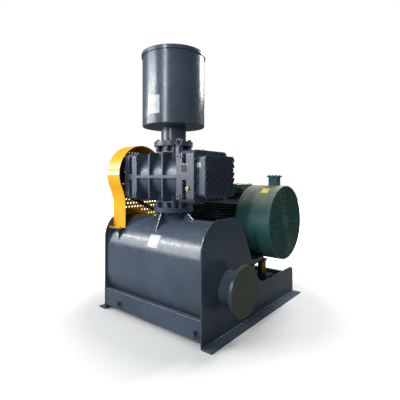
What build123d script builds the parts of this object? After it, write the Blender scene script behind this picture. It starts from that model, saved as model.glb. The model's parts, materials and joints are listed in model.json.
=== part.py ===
"""Belt-driven three-lobe vacuum pump set on a combined base and discharge silencer.

Millimetres, +Z up, +X along the shafts towards the gear end, -Y towards the front channel.
The origin is the centre of the four anchor holes, on the floor.
"""
from build123d import *
from math import acos, atan2, cos, degrees, hypot, pi, radians, sin, sqrt
import os

os.makedirs("parts", exist_ok=True)

# Base frame
base_width = 1144.0
base_depth = 1550.0
plate_t = 10.0
foot_width = 88.0
foot_bend_r = 12.0
anchor_inset_x = 44.0
anchor_inset_y = 75.0
anchor_hole_r = 9.0
tail_height = 266.0
plate_rise = 37.0
plate_shoulder = 182.0
hinge_land = 120.0
front_corner_r = 220.0
back_corner_r = 180.0
valley_r = 180.0
tail_corner_r = 50.0
channel_height = 155.0
channel_flange = 40.0
channel_t = 8.0
channel_bottom = 45.0
channel_setback = 5.0
trunnion_r = 20.0
trunnion_length = 32.0
trunnion_cap_r = 27.0
trunnion_cap_t = 6.0
trunnion_height = 108.0
trunnion_left_gap = 197.0
trunnion_right_gap = 58.0

# Discharge silencer
shell_r = 298.0
shell_low_z = 360.0
shell_straight = 197.0
shell_wall = 6.0
shell_front_gap = 18.0
core_r = 110.0
core_wall = 3.0
core_z = 470.0
baffle_t = 4.0
baffle_x = 290.0
outlet_pipe_r = 136.5
outlet_pipe_wall = 8.0
outlet_z = 350.0
outlet_offset_y = 29.0
outlet_reach = 146.0
outlet_flange_r = 197.5
outlet_flange_t = 22.0
outlet_pcd = 350.0
outlet_holes = 12
outlet_hole_r = 11.0
outlet_weld = 7.0
flange_cover_t = 4.0
flange_cover_inset = 3.0

# Pipes and flanges above and below the pump
stub_gap = 60.0
stub_sink = 20.0
pipe_r = 109.5
pipe_wall = 8.0
flange_r = 170.0
flange_t = 18.0
flange_pcd = 295.0
flange_bolts = 8
flange_hole_r = 11.0
gusset_t = 8.0
gusset_top_inset = 18.0
gusset_foot_out = 58.0
gusset_side_drop = 118.0

# Pump casing and heads
casing_height = 570.0
rotor_centres = 153.0
lobe_count = 3
bore_clearance = 0.3
casing_wall = 17.0
barrel_half = 240.0
casing_flange_t = 42.0
head_margin_y = 24.2
head_margin_z = 10.2
head_corner_r = 45.0
head_t = 120.0
head_recess_w = 40.0
head_recess_depth = 44.0
head_floor_t = 20.0
window_low = 24.0
window_land = 28.0
bolt_land = 20.0
cast_flange_t = 22.0
port_r = 100.0
neck_wall = 15.0
neck_corner_r = 20.0
boss_r = 19.0
boss_length = 45.0
web_x = 80.0
web_t = 12.0
web_corner_r = 36.0
mid_rib_t = 24.0
pad_size = 44.0
pad_proud = 5.0
pad_land = 49.0
lug_size = 44.0
lug_top = 28.0
lug_inset = 10.0
shaft_r = 30.0
seal_gap = 0.05
bearing_r = 58.0
bearing_t = 26.0
end_cover_t = 18.0
end_cover_inset_y = 20.0
end_cover_inset_z = 36.0
cover_screw_inset = 19.0

# Timing gears and gear cover
gear_teeth = 34
gear_t = 50.0
gear_cover_flange_t = 18.0
gear_cover_depth = 82.0
gear_cover_inset_y = 32.0
gear_cover_inset_z = 50.0
gear_cover_wall = 12.0
cover_bolt_land = 16.0
fin_height = 10.0
fin_t = 12.0
fin_pitch = 35.0
fin_lean = 36.0
fin_root = 6.0
fin_overhang = 8.0
gear_backlash = 1.4
gear_gap = 13.0

# Intake silencer
intake_pipe_length = 131.0
intake_r = 272.0
intake_height = 604.0
intake_wall = 3.0
lid_gap = 8.0
lid_rim = 33.0
lid_overlap = 4.0
lid_wall = 3.0
lining_t = 30.0
air_space = 74.0
filter_wall = 45.0
filter_cap = 6.0
filter_cap_t = 12.0
filter_top_gap = 148.0

# Motor
motor_reach = 465.0
shaft_height = 315.0
foot_span_y = 508.0
foot_span_x = 457.0
foot_setback = 141.0
frame_r = 258.0
frame_wall = 20.0
fin_tip_r = 315.0
motor_fin_t = 6.0
motor_fin_pitch = 24.0
motor_overhang = 183.0
frame_length = 622.0
cowl_r = 350.0
cowl_wall = 4.0
cowl_length = 350.0
motor_shaft_r = 45.0
fan_r = 275.0
fan_blades = 9
fan_gap = 70.0
fan_width = 60.0
shield_t = 30.0
shield_step = 8.0
motor_bearing_r = 95.0
terminal_setback = 150.0
terminal_length = 365.0
terminal_half_y = 175.0
terminal_rise = 276.0
terminal_box_height = 40.0
terminal_lid_height = 45.0
aux_inset_x = 121.0
stator_inner_r = 160.0
air_gap = 1.5

# Swinging motor seat
seat_t = 20.0
seat_side_gap = 42.0
seat_drop = 423.0
seat_front_gap = 45.0
seat_back_land = 46.0
hinge_gap = 86.0
hinge_drop = 29.0
hinge_stub = 18.0
hinge_r = 20.0
hinge_clearance = 0.05
hinge_lug_r = 38.0
hinge_lug_t = 20.0
post_side_gap = 92.0
post_back = 105.0
post_r = 38.0
beam_width = 100.0
beam_top = 290.0
beam_wall = 8.0

# Belt drive
belt_count = 5
belt_pitch = 19.0
belt_top_width = 16.0
belt_bottom_width = 10.0
belt_depth = 12.0
belt_side_gap = 0.35
blower_pulley_r = 190.0
motor_pulley_r = 177.5
pulley_rim_x = 12.5
pulley_cover_gap = 12.5
shaft_stub = 11.5

# Belt guard
guard_room = 80.0
guard_tail_room = 62.5
guard_side_room = 26.0
guard_back_y = 26.0
guard_back_z = 25.0
guard_depth = 178.0
guard_sheet = 2.5
guard_leg_gap = 87.0
guard_leg_drop = 293.0
guard_foot_gap = 9.3
guard_foot_length = 52.0
guard_shell_gap = 3.0

# Places worked out from the sizes above
half_width = base_width / 2
half_depth = base_depth / 2
front_y = -half_depth
inner_x = half_width - plate_t
pump_y = front_y + shell_front_gap + shell_r
shell_high_z = shell_low_z + shell_straight
crest_z = shell_high_z + shell_r
stub_flange_z = crest_z + stub_gap
casing_low_z = stub_flange_z + flange_t
pump_z = casing_low_z + casing_height / 2
casing_high_z = casing_low_z + casing_height
rotor_pitch_r = rotor_centres / 2
lobe_roll_r = rotor_pitch_r / (2 * lobe_count)
rotor_tip_r = rotor_pitch_r + 2 * lobe_roll_r
bore_r = rotor_tip_r + bore_clearance
barrel_r = rotor_pitch_r + bore_r + casing_wall
drive_y = pump_y - rotor_pitch_r
driven_y = pump_y + rotor_pitch_r
head_half_y = barrel_r + head_margin_y
head_half_z = barrel_r + head_margin_z
neck_half = port_r + neck_wall
head_in_x = barrel_half + casing_flange_t
head_out_x = head_in_x + head_t
drive_cover_x = head_out_x + end_cover_t
gear_face_x = head_out_x + gear_cover_flange_t + gear_cover_depth
gear_start_x = head_out_x + gear_gap
intake_low_z = casing_high_z + flange_t + intake_pipe_length
intake_top_z = intake_low_z + intake_height
lid_low_z = intake_top_z - lid_overlap
lid_top_z = lid_low_z + lid_rim
lid_r = intake_r + lid_gap
lining_inner_r = intake_r - intake_wall - lining_t
filter_r = lining_inner_r - air_space
plate_top_z = crest_z + plate_rise
seat_top_z = plate_top_z - seat_drop
motor_z = seat_top_z + shaft_height
hinge_z = seat_top_z - hinge_drop
seat_low_z = seat_top_z - seat_t
guard_out_x = -inner_x
guard_in_x = guard_out_x + guard_depth
pulley_width = (belt_count - 1) * belt_pitch + 2 * pulley_rim_x
pulley_centre_x = guard_out_x + guard_sheet + guard_side_room + pulley_width / 2
motor_shaft_end_x = pulley_centre_x - pulley_width / 2 - shaft_stub
drive_shaft_end_x = -drive_cover_x - pulley_cover_gap - pulley_width - shaft_stub
frame_front_x = pulley_centre_x + motor_overhang
frame_back_x = frame_front_x + frame_length
foot_first_x = frame_front_x + foot_setback
terminal_mid_x = frame_front_x + terminal_setback + terminal_length / 2
hinge_y = pump_y + shell_r + hinge_gap
motor_y = hinge_y + motor_reach
seat_front_y = hinge_y + seat_front_gap
seat_back_y = motor_y + foot_span_y / 2 + seat_back_land
seat_half_x = inner_x - seat_side_gap
post_x = inner_x - post_side_gap
post_y = motor_y - post_back
slope_top_y = pump_y + plate_shoulder
slope_foot_y = hinge_y + hinge_land
trunnion_left = -inner_x + trunnion_left_gap
trunnion_right = inner_x - trunnion_right_gap
cowl_end_x = frame_back_x + cowl_length
fan_x = frame_back_x + fan_gap
shield_r = frame_r - shield_step
terminal_low_z = motor_z + terminal_rise
terminal_split_z = terminal_low_z + terminal_box_height
terminal_top_z = terminal_split_z + terminal_lid_height
aux_x = cowl_end_x - aux_inset_x
guard_y = pump_y - guard_back_y
guard_z = pump_z + guard_back_z
guard_r = blower_pulley_r + guard_room
guard_tail_r = motor_pulley_r + guard_tail_room
guard_leg_top = guard_z - guard_leg_drop
leg_y = front_y + guard_leg_gap
guard_foot_z = shell_high_z + sqrt(shell_r**2 - (pump_y - leg_y)**2) + guard_foot_gap
outlet_y = pump_y + outlet_offset_y
outlet_face_x = half_width + outlet_reach
stub_foot_z = shell_high_z + sqrt(shell_r**2 - pipe_r**2) - stub_sink

# The pump stands where its belt-side cover clears the pulley, which keeps its place in the guard
pump_x = pulley_centre_x + pulley_width / 2 + pulley_cover_gap + drive_cover_x


def at_x(x):
    """Plane across the shafts at x, drawn with Y to the right and Z up."""
    return Plane(origin=(x, 0, 0), x_dir=(0, 1, 0), z_dir=(1, 0, 0))


def at_y(y):
    """Plane facing the front at y, drawn with X to the right and Z up."""
    return Plane(origin=(0, y, 0), x_dir=(1, 0, 0), z_dir=(0, -1, 0))


def shaft_axis(y, z):
    """Axis along +X through y, z."""
    return Axis((0, y, z), (1, 0, 0))


def save(part, name):
    """Label a finished piece and write it to its own file."""
    part.label = name
    export_step(part, f"parts/{name}.step")


def save_on_pump(part, name):
    """Write a piece that was drawn about the middle of the pump, moved to the pump's place."""
    save(Pos(pump_x, 0, 0) * part, name)


def hex_bolt(head_r, head_h, shank_r, shank_l, washer_r=0.0, washer_t=0.0):
    """Hex head standing on z = 0 with its shank below, on a washer where one is wanted."""
    with BuildPart() as bolt:
        if washer_t > 0:
            with BuildSketch():
                Circle(washer_r)
            extrude(amount=washer_t)
        with BuildSketch(Plane.XY.offset(washer_t)):
            RegularPolygon(head_r, 6)
        extrude(amount=head_h)
        with BuildSketch():
            Circle(shank_r)
        extrude(amount=-shank_l)
    return bolt.part


def shell_outline(inset):
    """Closed oblong profile of the discharge silencer, moved inwards by inset."""
    r = shell_r - inset
    with BuildLine() as outline:
        Line((pump_y - r, shell_low_z), (pump_y - r, shell_high_z))
        CenterArc((pump_y, shell_high_z), r, 180, -180)
        Line((pump_y + r, shell_high_z), (pump_y + r, shell_low_z))
        CenterArc((pump_y, shell_low_z), r, 0, -180)
    return outline.line


def shell_envelope(inset, half_length):
    """Solid of the silencer's oblong body between two x planes."""
    with BuildPart() as envelope:
        with BuildSketch(at_x(-half_length)):
            with BuildLine():
                add(shell_outline(inset))
            make_face()
        extrude(amount=2 * half_length)
    return envelope.part


def end_plate(side):
    """Sheet with a bent foot, a tall front and a low tail; side is +1 at the gear end, -1 at the belt end."""
    outer_x = side * half_width
    inner = side * inner_x
    low_x = min(outer_x, inner)
    foot_out = outer_x + side * foot_width
    with BuildPart() as plate:
        with BuildSketch(at_x(low_x)) as outline:
            with BuildLine():
                profile = Polyline(
                    (front_y, 0),
                    (front_y, plate_top_z),
                    (slope_top_y, plate_top_z),
                    (slope_foot_y, tail_height),
                    (half_depth, tail_height),
                    (half_depth, 0),
                    close=True,
                )
            make_face()
            for corner_y, corner_z, radius in (
                (front_y, plate_top_z, front_corner_r),
                (slope_top_y, plate_top_z, back_corner_r),
                (slope_foot_y, tail_height, valley_r),
                (half_depth, tail_height, tail_corner_r),
            ):
                corner = outline.vertices().sort_by_distance((corner_y, corner_z, 0))[0]
                fillet(corner, radius)
        extrude(amount=plate_t)
        with BuildSketch(Plane.XY):
            with Locations(((inner + foot_out) / 2, 0)):
                Rectangle(abs(foot_out - inner), base_depth)
        extrude(amount=plate_t)
        bend = plate.edges().filter_by(Axis.Y).sort_by_distance((inner, 0, 0))[0]
        fillet(bend, foot_bend_r)
        throat = plate.edges().filter_by(Axis.Y).sort_by_distance((outer_x, 0, plate_t))[0]
        fillet(throat, foot_bend_r / 2)
        with Locations(*[
            (outer_x + side * anchor_inset_x, y, plate_t)
            for y in (front_y + anchor_inset_y, half_depth - anchor_inset_y)
        ]):
            Hole(anchor_hole_r, depth=2 * plate_t)
        with BuildSketch(at_x(low_x)):
            with Locations((hinge_y, hinge_z)):
                Circle(hinge_r)
            if side > 0:
                with Locations((outlet_y, outlet_z)):
                    Circle(outlet_pipe_r)
        extrude(amount=plate_t, mode=Mode.SUBTRACT)
    return plate.part


save(end_plate(1), "end_plate_gear_side")
save(end_plate(-1), "end_plate_belt_side")


def cross_channel(side):
    """Folded channel between the end plates; side is -1 at the front and +1 at the back."""
    web_out = side * (half_depth - channel_setback)
    web_in = web_out - side * channel_t
    lip = web_out - side * channel_flange
    top = channel_bottom + channel_height
    with BuildPart() as channel:
        with BuildSketch(at_x(-inner_x)):
            with BuildLine():
                Polyline(
                    (web_out, channel_bottom),
                    (web_out, top),
                    (lip, top),
                    (lip, top - channel_t),
                    (web_in, top - channel_t),
                    (web_in, channel_bottom + channel_t),
                    (lip, channel_bottom + channel_t),
                    (lip, channel_bottom),
                    close=True,
                )
            make_face()
        extrude(amount=2 * inner_x)
        outer_edges = channel.edges().filter_by(Axis.X).group_by(Axis.Y)[0 if side < 0 else -1]
        fillet(outer_edges, channel_t / 2)
        with BuildSketch(at_y(web_out)):
            with Locations((trunnion_left, trunnion_height), (trunnion_right, trunnion_height)):
                Circle(trunnion_r)
        extrude(amount=channel_t, both=True, mode=Mode.SUBTRACT)
    return channel.part


with BuildPart() as cross_channels:
    add(cross_channel(-1))
    add(cross_channel(1))
save(cross_channels.part, "cross_channels")

# Lifting trunnions: short bars through the channel webs with a cap that holds the sling
with BuildPart() as lifting_trunnions:
    for side in (-1, 1):
        web_out = side * (half_depth - channel_setback)
        tip = web_out + side * trunnion_length
        root = web_out - side * channel_t
        with BuildSketch(at_y(max(tip, root))):
            with Locations((trunnion_left, trunnion_height), (trunnion_right, trunnion_height)):
                Circle(trunnion_r)
        extrude(amount=abs(tip - root))
        with BuildSketch(at_y(max(tip, tip + side * trunnion_cap_t))):
            with Locations((trunnion_left, trunnion_height), (trunnion_right, trunnion_height)):
                Circle(trunnion_cap_r)
        extrude(amount=trunnion_cap_t)
save(lifting_trunnions.part, "lifting_trunnions")

# Cross beam that carries the adjusting posts
with BuildPart() as post_beam:
    with BuildSketch(at_x(-inner_x)):
        with Locations((post_y, beam_top - beam_width / 2)):
            RectangleRounded(beam_width, beam_width, beam_wall)
            RectangleRounded(
                beam_width - 2 * beam_wall, beam_width - 2 * beam_wall, beam_wall / 2, mode=Mode.SUBTRACT
            )
    extrude(amount=2 * inner_x)
save(post_beam.part, "post_beam")

# Discharge silencer: rolled oblong shell, with a hole at the top for the stub pipe
with BuildPart() as discharge_shell:
    add(shell_envelope(0, inner_x))
    add(shell_envelope(shell_wall, inner_x + 1), mode=Mode.SUBTRACT)
    with BuildSketch(Plane.XY.offset(stub_foot_z - stub_sink)):
        with Locations((pump_x, pump_y)):
            Circle(pipe_r)
    extrude(amount=stub_flange_z - stub_foot_z, mode=Mode.SUBTRACT)
save(discharge_shell.part, "discharge_shell")

# Perforated core and its two baffles, inside the shell
with BuildPart() as silencer_core:
    with BuildSketch(at_x(-baffle_x)):
        with BuildLine():
            add(shell_outline(shell_wall))
        make_face()
        with Locations((pump_y, core_z)):
            Circle(core_r - core_wall, mode=Mode.SUBTRACT)
    extrude(amount=baffle_t)
    with BuildSketch(at_x(baffle_x)):
        with BuildLine():
            add(shell_outline(shell_wall))
        make_face()
        with Locations((pump_y, core_z)):
            Circle(core_r - core_wall, mode=Mode.SUBTRACT)
    extrude(amount=baffle_t)
    with BuildSketch(at_x(-baffle_x)):
        with Locations((pump_y, core_z)):
            Circle(core_r)
            Circle(core_r - core_wall, mode=Mode.SUBTRACT)
    extrude(amount=2 * baffle_x)
save(silencer_core.part, "silencer_core")

# Stub pipe between silencer and pump, with its loose-drilled flange
with BuildPart() as stub_pipe:
    with BuildSketch(Plane.XY.offset(stub_flange_z)):
        with Locations((0, pump_y)):
            Circle(flange_r)
    extrude(amount=flange_t)
    with BuildSketch(Plane.XY.offset(stub_foot_z)):
        with Locations((0, pump_y)):
            Circle(pipe_r)
    extrude(amount=stub_flange_z - stub_foot_z)
    with BuildSketch(Plane.XY.offset(stub_foot_z)):
        with Locations((0, pump_y)):
            Circle(pipe_r - pipe_wall)
    extrude(amount=casing_low_z - stub_foot_z, mode=Mode.SUBTRACT)
    with Locations((0, pump_y, casing_low_z)):
        with PolarLocations(flange_pcd / 2, flange_bolts, start_angle=180 / flange_bolts):
            Hole(flange_hole_r, depth=flange_t)
save_on_pump(stub_pipe.part, "stub_pipe")

# Gussets that stiffen the stub pipe on the silencer
gusset_top = flange_r - gusset_top_inset
gusset_foot = flange_r + gusset_foot_out
gusset_side_z = crest_z - gusset_side_drop
with BuildPart() as stub_gussets:
    with BuildSketch(at_y(pump_y)):
        for way in (-1, 1):
            with BuildLine():
                Polyline(
                    (0, stub_flange_z),
                    (way * gusset_top, stub_flange_z),
                    (way * gusset_foot, crest_z),
                    (0, crest_z),
                    close=True,
                )
            make_face()
    extrude(amount=gusset_t / 2, both=True)
    with BuildSketch(at_x(0)):
        for way in (-1, 1):
            with BuildLine():
                Polyline(
                    (pump_y, stub_flange_z),
                    (pump_y + way * gusset_top, stub_flange_z),
                    (pump_y + way * gusset_foot, gusset_side_z),
                    (pump_y, gusset_side_z),
                    close=True,
                )
            make_face()
    extrude(amount=gusset_t / 2, both=True)
    add(shell_envelope(0, 2 * gusset_foot), mode=Mode.SUBTRACT)
    with BuildSketch(Plane.XY.offset(shell_high_z)):
        with Locations((0, pump_y)):
            Circle(pipe_r)
    extrude(amount=crest_z, mode=Mode.SUBTRACT)
save_on_pump(stub_gussets.part, "stub_gussets")

# Discharge pipe through the gear-side plate, its flange and the sheet that closes it for transport
with BuildPart() as discharge_pipe:
    with BuildSketch(at_x(inner_x - 20)):
        with Locations((outlet_y, outlet_z)):
            Circle(outlet_pipe_r)
            Circle(outlet_pipe_r - outlet_pipe_wall, mode=Mode.SUBTRACT)
    extrude(amount=outlet_face_x - inner_x + 16)
    with BuildSketch(at_x(half_width)):
        with Locations((outlet_y, outlet_z)):
            Circle(outlet_pipe_r + outlet_weld)
            Circle(outlet_pipe_r - outlet_pipe_wall, mode=Mode.SUBTRACT)
    extrude(amount=outlet_weld, taper=44)
    with BuildSketch(at_x(outlet_face_x - outlet_flange_t)):
        with Locations((outlet_y, outlet_z)):
            Circle(outlet_flange_r)
            Circle(outlet_pipe_r, mode=Mode.SUBTRACT)
            with PolarLocations(outlet_pcd / 2, outlet_holes, start_angle=180 / outlet_holes):
                Circle(outlet_hole_r, mode=Mode.SUBTRACT)
    extrude(amount=outlet_flange_t)
save(discharge_pipe.part, "discharge_pipe")

with BuildPart() as flange_cover:
    with BuildSketch(at_x(outlet_face_x)):
        with Locations((outlet_y, outlet_z)):
            Circle(outlet_flange_r - flange_cover_inset)
    extrude(amount=flange_cover_t)
save(flange_cover.part, "flange_cover")

# Pump casing: barrel, end flanges, necks, port flanges and outside ribs in one casting
lug_x = barrel_half + lug_inset
lug_y = head_half_y - lug_size / 2
blind_hole_r = 7.0
pad_x = barrel_half + casing_flange_t / 2
pad_z = head_half_z - pad_land
tapped_r = 9.0
tapped_depth = 20.0
head_bolt_r = 8.0
head_bolt_y = head_half_y - bolt_land
window_high = head_half_z - window_land
window_step = (window_high - window_low) / 3
head_bolt_z = [half * (window_low + (index + 0.5) * window_step) for half in (-1, 1) for index in range(3)]
pad_places = [(x, pump_z + z) for x in (-pad_x, pad_x) for z in (-pad_z, pad_z)]
port_bolt_turn = 180 / flange_bolts


def pump_outline(half_y, half_z, corner):
    """Rounded rectangle about the pump axis, for a sketch across the shafts."""
    with BuildSketch(mode=Mode.PRIVATE) as outline:
        with Locations((pump_y, pump_z)):
            RectangleRounded(2 * half_y, 2 * half_z, corner)
    return outline.sketch


with BuildPart() as pump_casing:
    with BuildSketch(at_x(-barrel_half)):
        with Locations((pump_y, pump_z)):
            Circle(barrel_r)
    extrude(amount=2 * barrel_half)
    for start in (-head_in_x, barrel_half):
        with BuildSketch(at_x(start)):
            add(pump_outline(head_half_y, head_half_z, head_corner_r))
        extrude(amount=casing_flange_t)
    for centre in (-web_x, web_x):
        with BuildSketch(at_x(centre - web_t / 2)):
            add(pump_outline(head_half_y, head_half_z, web_corner_r))
        extrude(amount=web_t)
    with BuildSketch(Plane.XY.offset(pump_z - mid_rib_t / 2)):
        with Locations((0, pump_y)):
            Rectangle(2 * barrel_half, 2 * head_half_y)
    extrude(amount=mid_rib_t)
    with BuildSketch(Plane.XY.offset(casing_low_z)):
        with Locations((0, pump_y)):
            RectangleRounded(2 * neck_half, 2 * neck_half, neck_corner_r)
    extrude(amount=casing_height)
    for face_z, way in ((casing_low_z, 1), (casing_high_z, -1)):
        with BuildSketch(Plane.XY.offset(face_z)):
            with Locations((0, pump_y)):
                Circle(flange_r)
        extrude(amount=way * cast_flange_t)
        with BuildSketch(Plane.XY.offset(face_z)):
            with Locations((0, pump_y)):
                with PolarLocations(flange_pcd / 2, flange_bolts, start_angle=port_bolt_turn):
                    Circle(boss_r)
        extrude(amount=way * (cast_flange_t + boss_length))
    with BuildSketch(at_y(pump_y - head_half_y - pad_proud)):
        with Locations(*pad_places):
            RectangleRounded(casing_flange_t, pad_size, 6)
    extrude(amount=-(pad_proud + bolt_land))
    with BuildSketch(Plane.XY.offset(pump_z + head_half_z - head_corner_r)):
        with Locations((lug_x, pump_y - lug_y), (-lug_x, pump_y + lug_y)):
            RectangleRounded(lug_size, lug_size, 8)
    extrude(amount=head_corner_r + lug_top)
    with BuildSketch(at_x(-head_in_x)):
        with Locations((drive_y, pump_z), (driven_y, pump_z)):
            Circle(bore_r)
    extrude(amount=2 * head_in_x, mode=Mode.SUBTRACT)
    with BuildSketch(Plane.XY.offset(casing_low_z)):
        with Locations((0, pump_y)):
            Circle(port_r)
    extrude(amount=casing_height, mode=Mode.SUBTRACT)
    for face_z, way in ((casing_low_z, 1), (casing_high_z, -1)):
        with BuildSketch(Plane.XY.offset(face_z)):
            with Locations((0, pump_y)):
                with PolarLocations(flange_pcd / 2, flange_bolts, start_angle=port_bolt_turn):
                    Circle(tapped_r)
        extrude(amount=way * tapped_depth, mode=Mode.SUBTRACT)
    for face_x, way in ((-head_in_x, 1), (head_in_x, -1)):
        with BuildSketch(at_x(face_x)):
            with Locations(*[
                (pump_y + edge * head_bolt_y, pump_z + z) for edge in (-1, 1) for z in head_bolt_z
            ]):
                Circle(head_bolt_r)
        extrude(amount=way * 30, mode=Mode.SUBTRACT)
    with BuildSketch(Plane.XY.offset(pump_z + head_half_z + lug_top)):
        with Locations((lug_x, pump_y - lug_y), (-lug_x, pump_y + lug_y)):
            Circle(8)
    extrude(amount=-26, mode=Mode.SUBTRACT)
    with BuildSketch(at_y(pump_y - head_half_y - pad_proud)):
        with Locations(*pad_places):
            Circle(blind_hole_r)
    extrude(amount=-24, mode=Mode.SUBTRACT)
save_on_pump(pump_casing.part, "pump_casing")

# Pump heads: spigots that close the bores, bearing pockets, and windows over the head bolts
spigot_gap = 0.1
shaft_hole_gap = 6.0
pocket_depth = 64.0


def pump_head(side):
    """Head casting; side is -1 at the belt end and +1 at the gear end."""
    low_x = -head_out_x if side < 0 else head_in_x
    spigot_x = -head_in_x if side < 0 else barrel_half
    pocket_x = -head_out_x if side < 0 else head_out_x - pocket_depth
    window_x = -head_in_x - head_floor_t - head_recess_w if side < 0 else head_in_x + head_floor_t
    with BuildPart() as head:
        with BuildSketch(at_x(low_x)):
            add(pump_outline(head_half_y, head_half_z, head_corner_r))
        extrude(amount=head_t)
        with BuildSketch(at_x(spigot_x)):
            with Locations((drive_y, pump_z), (driven_y, pump_z)):
                Circle(bore_r - spigot_gap)
        extrude(amount=casing_flange_t)
        for edge in (-1, 1):
            for half in (-1, 1):
                with BuildSketch(at_x(window_x)):
                    with Locations((
                        pump_y + edge * (head_half_y - head_recess_depth / 2),
                        pump_z + half * (window_low + window_high) / 2,
                    )):
                        Rectangle(head_recess_depth, window_high - window_low)
                extrude(amount=head_recess_w, mode=Mode.SUBTRACT)
        with BuildSketch(at_x(pocket_x)):
            with Locations((drive_y, pump_z), (driven_y, pump_z)):
                Circle(bearing_r)
        extrude(amount=pocket_depth, mode=Mode.SUBTRACT)
        with BuildSketch(at_x(min(low_x, spigot_x))):
            with Locations((drive_y, pump_z), (driven_y, pump_z)):
                Circle(shaft_r + shaft_hole_gap)
        extrude(amount=head_t + casing_flange_t, mode=Mode.SUBTRACT)
        with BuildSketch(at_x(side * head_in_x)):
            with Locations(*[
                (pump_y + edge * head_bolt_y, pump_z + z) for edge in (-1, 1) for z in head_bolt_z
            ]):
                Circle(head_bolt_r)
        extrude(amount=side * head_floor_t, mode=Mode.SUBTRACT)
    return head.part


save_on_pump(pump_head(-1), "pump_head_belt_side")
save_on_pump(pump_head(1), "pump_head_gear_side")

# Hexagon bolts that hold the heads on the casing, seen in the windows
with BuildPart() as head_bolts:
    for side in (-1, 1):
        seat_x = side * (head_in_x + head_floor_t)
        for edge in (-1, 1):
            for z in head_bolt_z:
                place = Plane(
                    origin=(seat_x, pump_y + edge * head_bolt_y, pump_z + z), z_dir=(side, 0, 0)
                )
                with Locations(place):
                    add(hex_bolt(13.9, 10.0, head_bolt_r, head_floor_t + 24))
save_on_pump(head_bolts.part, "head_bolts")

# Eye bolts on the casing lugs
eye_r = 28.0
eye_wire_r = 8.0
eye_height = 71.0
eye_collar_r = 20.0
eye_collar_t = 9.0
with BuildPart() as eye_bolts:
    for x, y in ((lug_x, pump_y - lug_y), (-lug_x, pump_y + lug_y)):
        base_z = pump_z + head_half_z + lug_top
        with BuildSketch(Plane.XY.offset(base_z)):
            with Locations((x, y)):
                Circle(eye_collar_r)
        extrude(amount=eye_collar_t)
        with BuildSketch(Plane.XY.offset(base_z)):
            with Locations((x, y)):
                Circle(8)
        extrude(amount=-22)
        with BuildSketch(Plane.XY.offset(base_z)):
            with Locations((x, y)):
                Circle(eye_wire_r)
        extrude(amount=eye_collar_t + 2)
        ring_z = base_z + eye_height - eye_r - eye_wire_r
        with Locations(Location((x, y, ring_z), (90, 0, 0))):
            Torus(eye_r, eye_wire_r)
save_on_pump(eye_bolts.part, "eye_bolts")

# Three-lobe rotors, drawn from the rolling-circle curves and drawn in a little for running clearance
rotor_end_gap = 0.5
rotor_skin_gap = 0.2
rotor_half = barrel_half - rotor_end_gap
arc_steps = 8


def lobe_point(angle, start, outward):
    """Point of the rotor edge; the arc starts at start and rolls outside or inside the pitch circle."""
    r = lobe_roll_r if outward else -lobe_roll_r
    t = angle
    ratio = (rotor_pitch_r + r) / r
    x = (rotor_pitch_r + r) * cos(t) - r * cos(ratio * t)
    y = (rotor_pitch_r + r) * sin(t) - r * sin(ratio * t)
    touch_x = rotor_pitch_r * cos(t)
    touch_y = rotor_pitch_r * sin(t)
    reach = hypot(touch_x - x, touch_y - y)
    way = 1 if outward else -1
    if reach < 1e-6:
        near_start = t < radians(30)
        turn = t + pi / 2 if near_start else t - pi / 2
        if not outward:
            turn += pi
        normal_x = cos(turn)
        normal_y = sin(turn)
    else:
        normal_x = way * (touch_x - x) / reach
        normal_y = way * (touch_y - y) / reach
    x += rotor_skin_gap * normal_x
    y += rotor_skin_gap * normal_y
    return (x * cos(start) - y * sin(start), x * sin(start) + y * cos(start))


def rotor(y):
    """One rotor body with its bore, centred on the shaft at y."""
    span = radians(60)
    with BuildPart() as body:
        with BuildSketch(at_x(-rotor_half)) as section:
            with Locations((y, pump_z)):
                Circle(shaft_r + 1)
            with BuildSketch(mode=Mode.PRIVATE) as edge:
                with BuildLine():
                    for index in range(lobe_count):
                        lobe_start = radians(120 * index - 30)
                        lobe = [
                            lobe_point(span * step / arc_steps, lobe_start, True)
                            for step in range(arc_steps + 1)
                        ]
                        hollow = [
                            lobe_point(span * step / arc_steps, lobe_start + span, False)
                            for step in range(arc_steps + 1)
                        ]
                        Spline(*lobe)
                        Spline(*hollow)
                make_face()
            with Locations((y, pump_z)):
                add(edge.sketch)
                Circle(shaft_r, mode=Mode.SUBTRACT)
        extrude(amount=2 * rotor_half)
    return body.part


save_on_pump(rotor(drive_y), "drive_rotor")
save_on_pump(rotor(driven_y), "driven_rotor")

# Pump shafts, stepped down outside the bearings
shaft_gear_end_x = gear_start_x + gear_t + 12.0
with BuildPart() as drive_shaft:
    with BuildSketch(at_x(drive_shaft_end_x)):
        with Locations((drive_y, pump_z)):
            Circle(shaft_r)
    extrude(amount=shaft_gear_end_x - drive_shaft_end_x)
    ends = drive_shaft.edges().filter_by(GeomType.CIRCLE)
    chamfer(ends, 2)
save_on_pump(drive_shaft.part, "drive_shaft")

with BuildPart() as driven_shaft:
    with BuildSketch(at_x(-head_out_x + 12)):
        with Locations((driven_y, pump_z)):
            Circle(shaft_r)
    extrude(amount=shaft_gear_end_x + head_out_x - 12)
    ends = driven_shaft.edges().filter_by(GeomType.CIRCLE)
    chamfer(ends, 2)
save_on_pump(driven_shaft.part, "driven_shaft")

# Timing gears with involute flanks; the driven one is turned by half a tooth
gear_module = rotor_centres / gear_teeth
pressure_angle = radians(20)


def involute(angle):
    """Involute function of a pressure angle."""
    return sin(angle) / cos(angle) - angle


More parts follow.
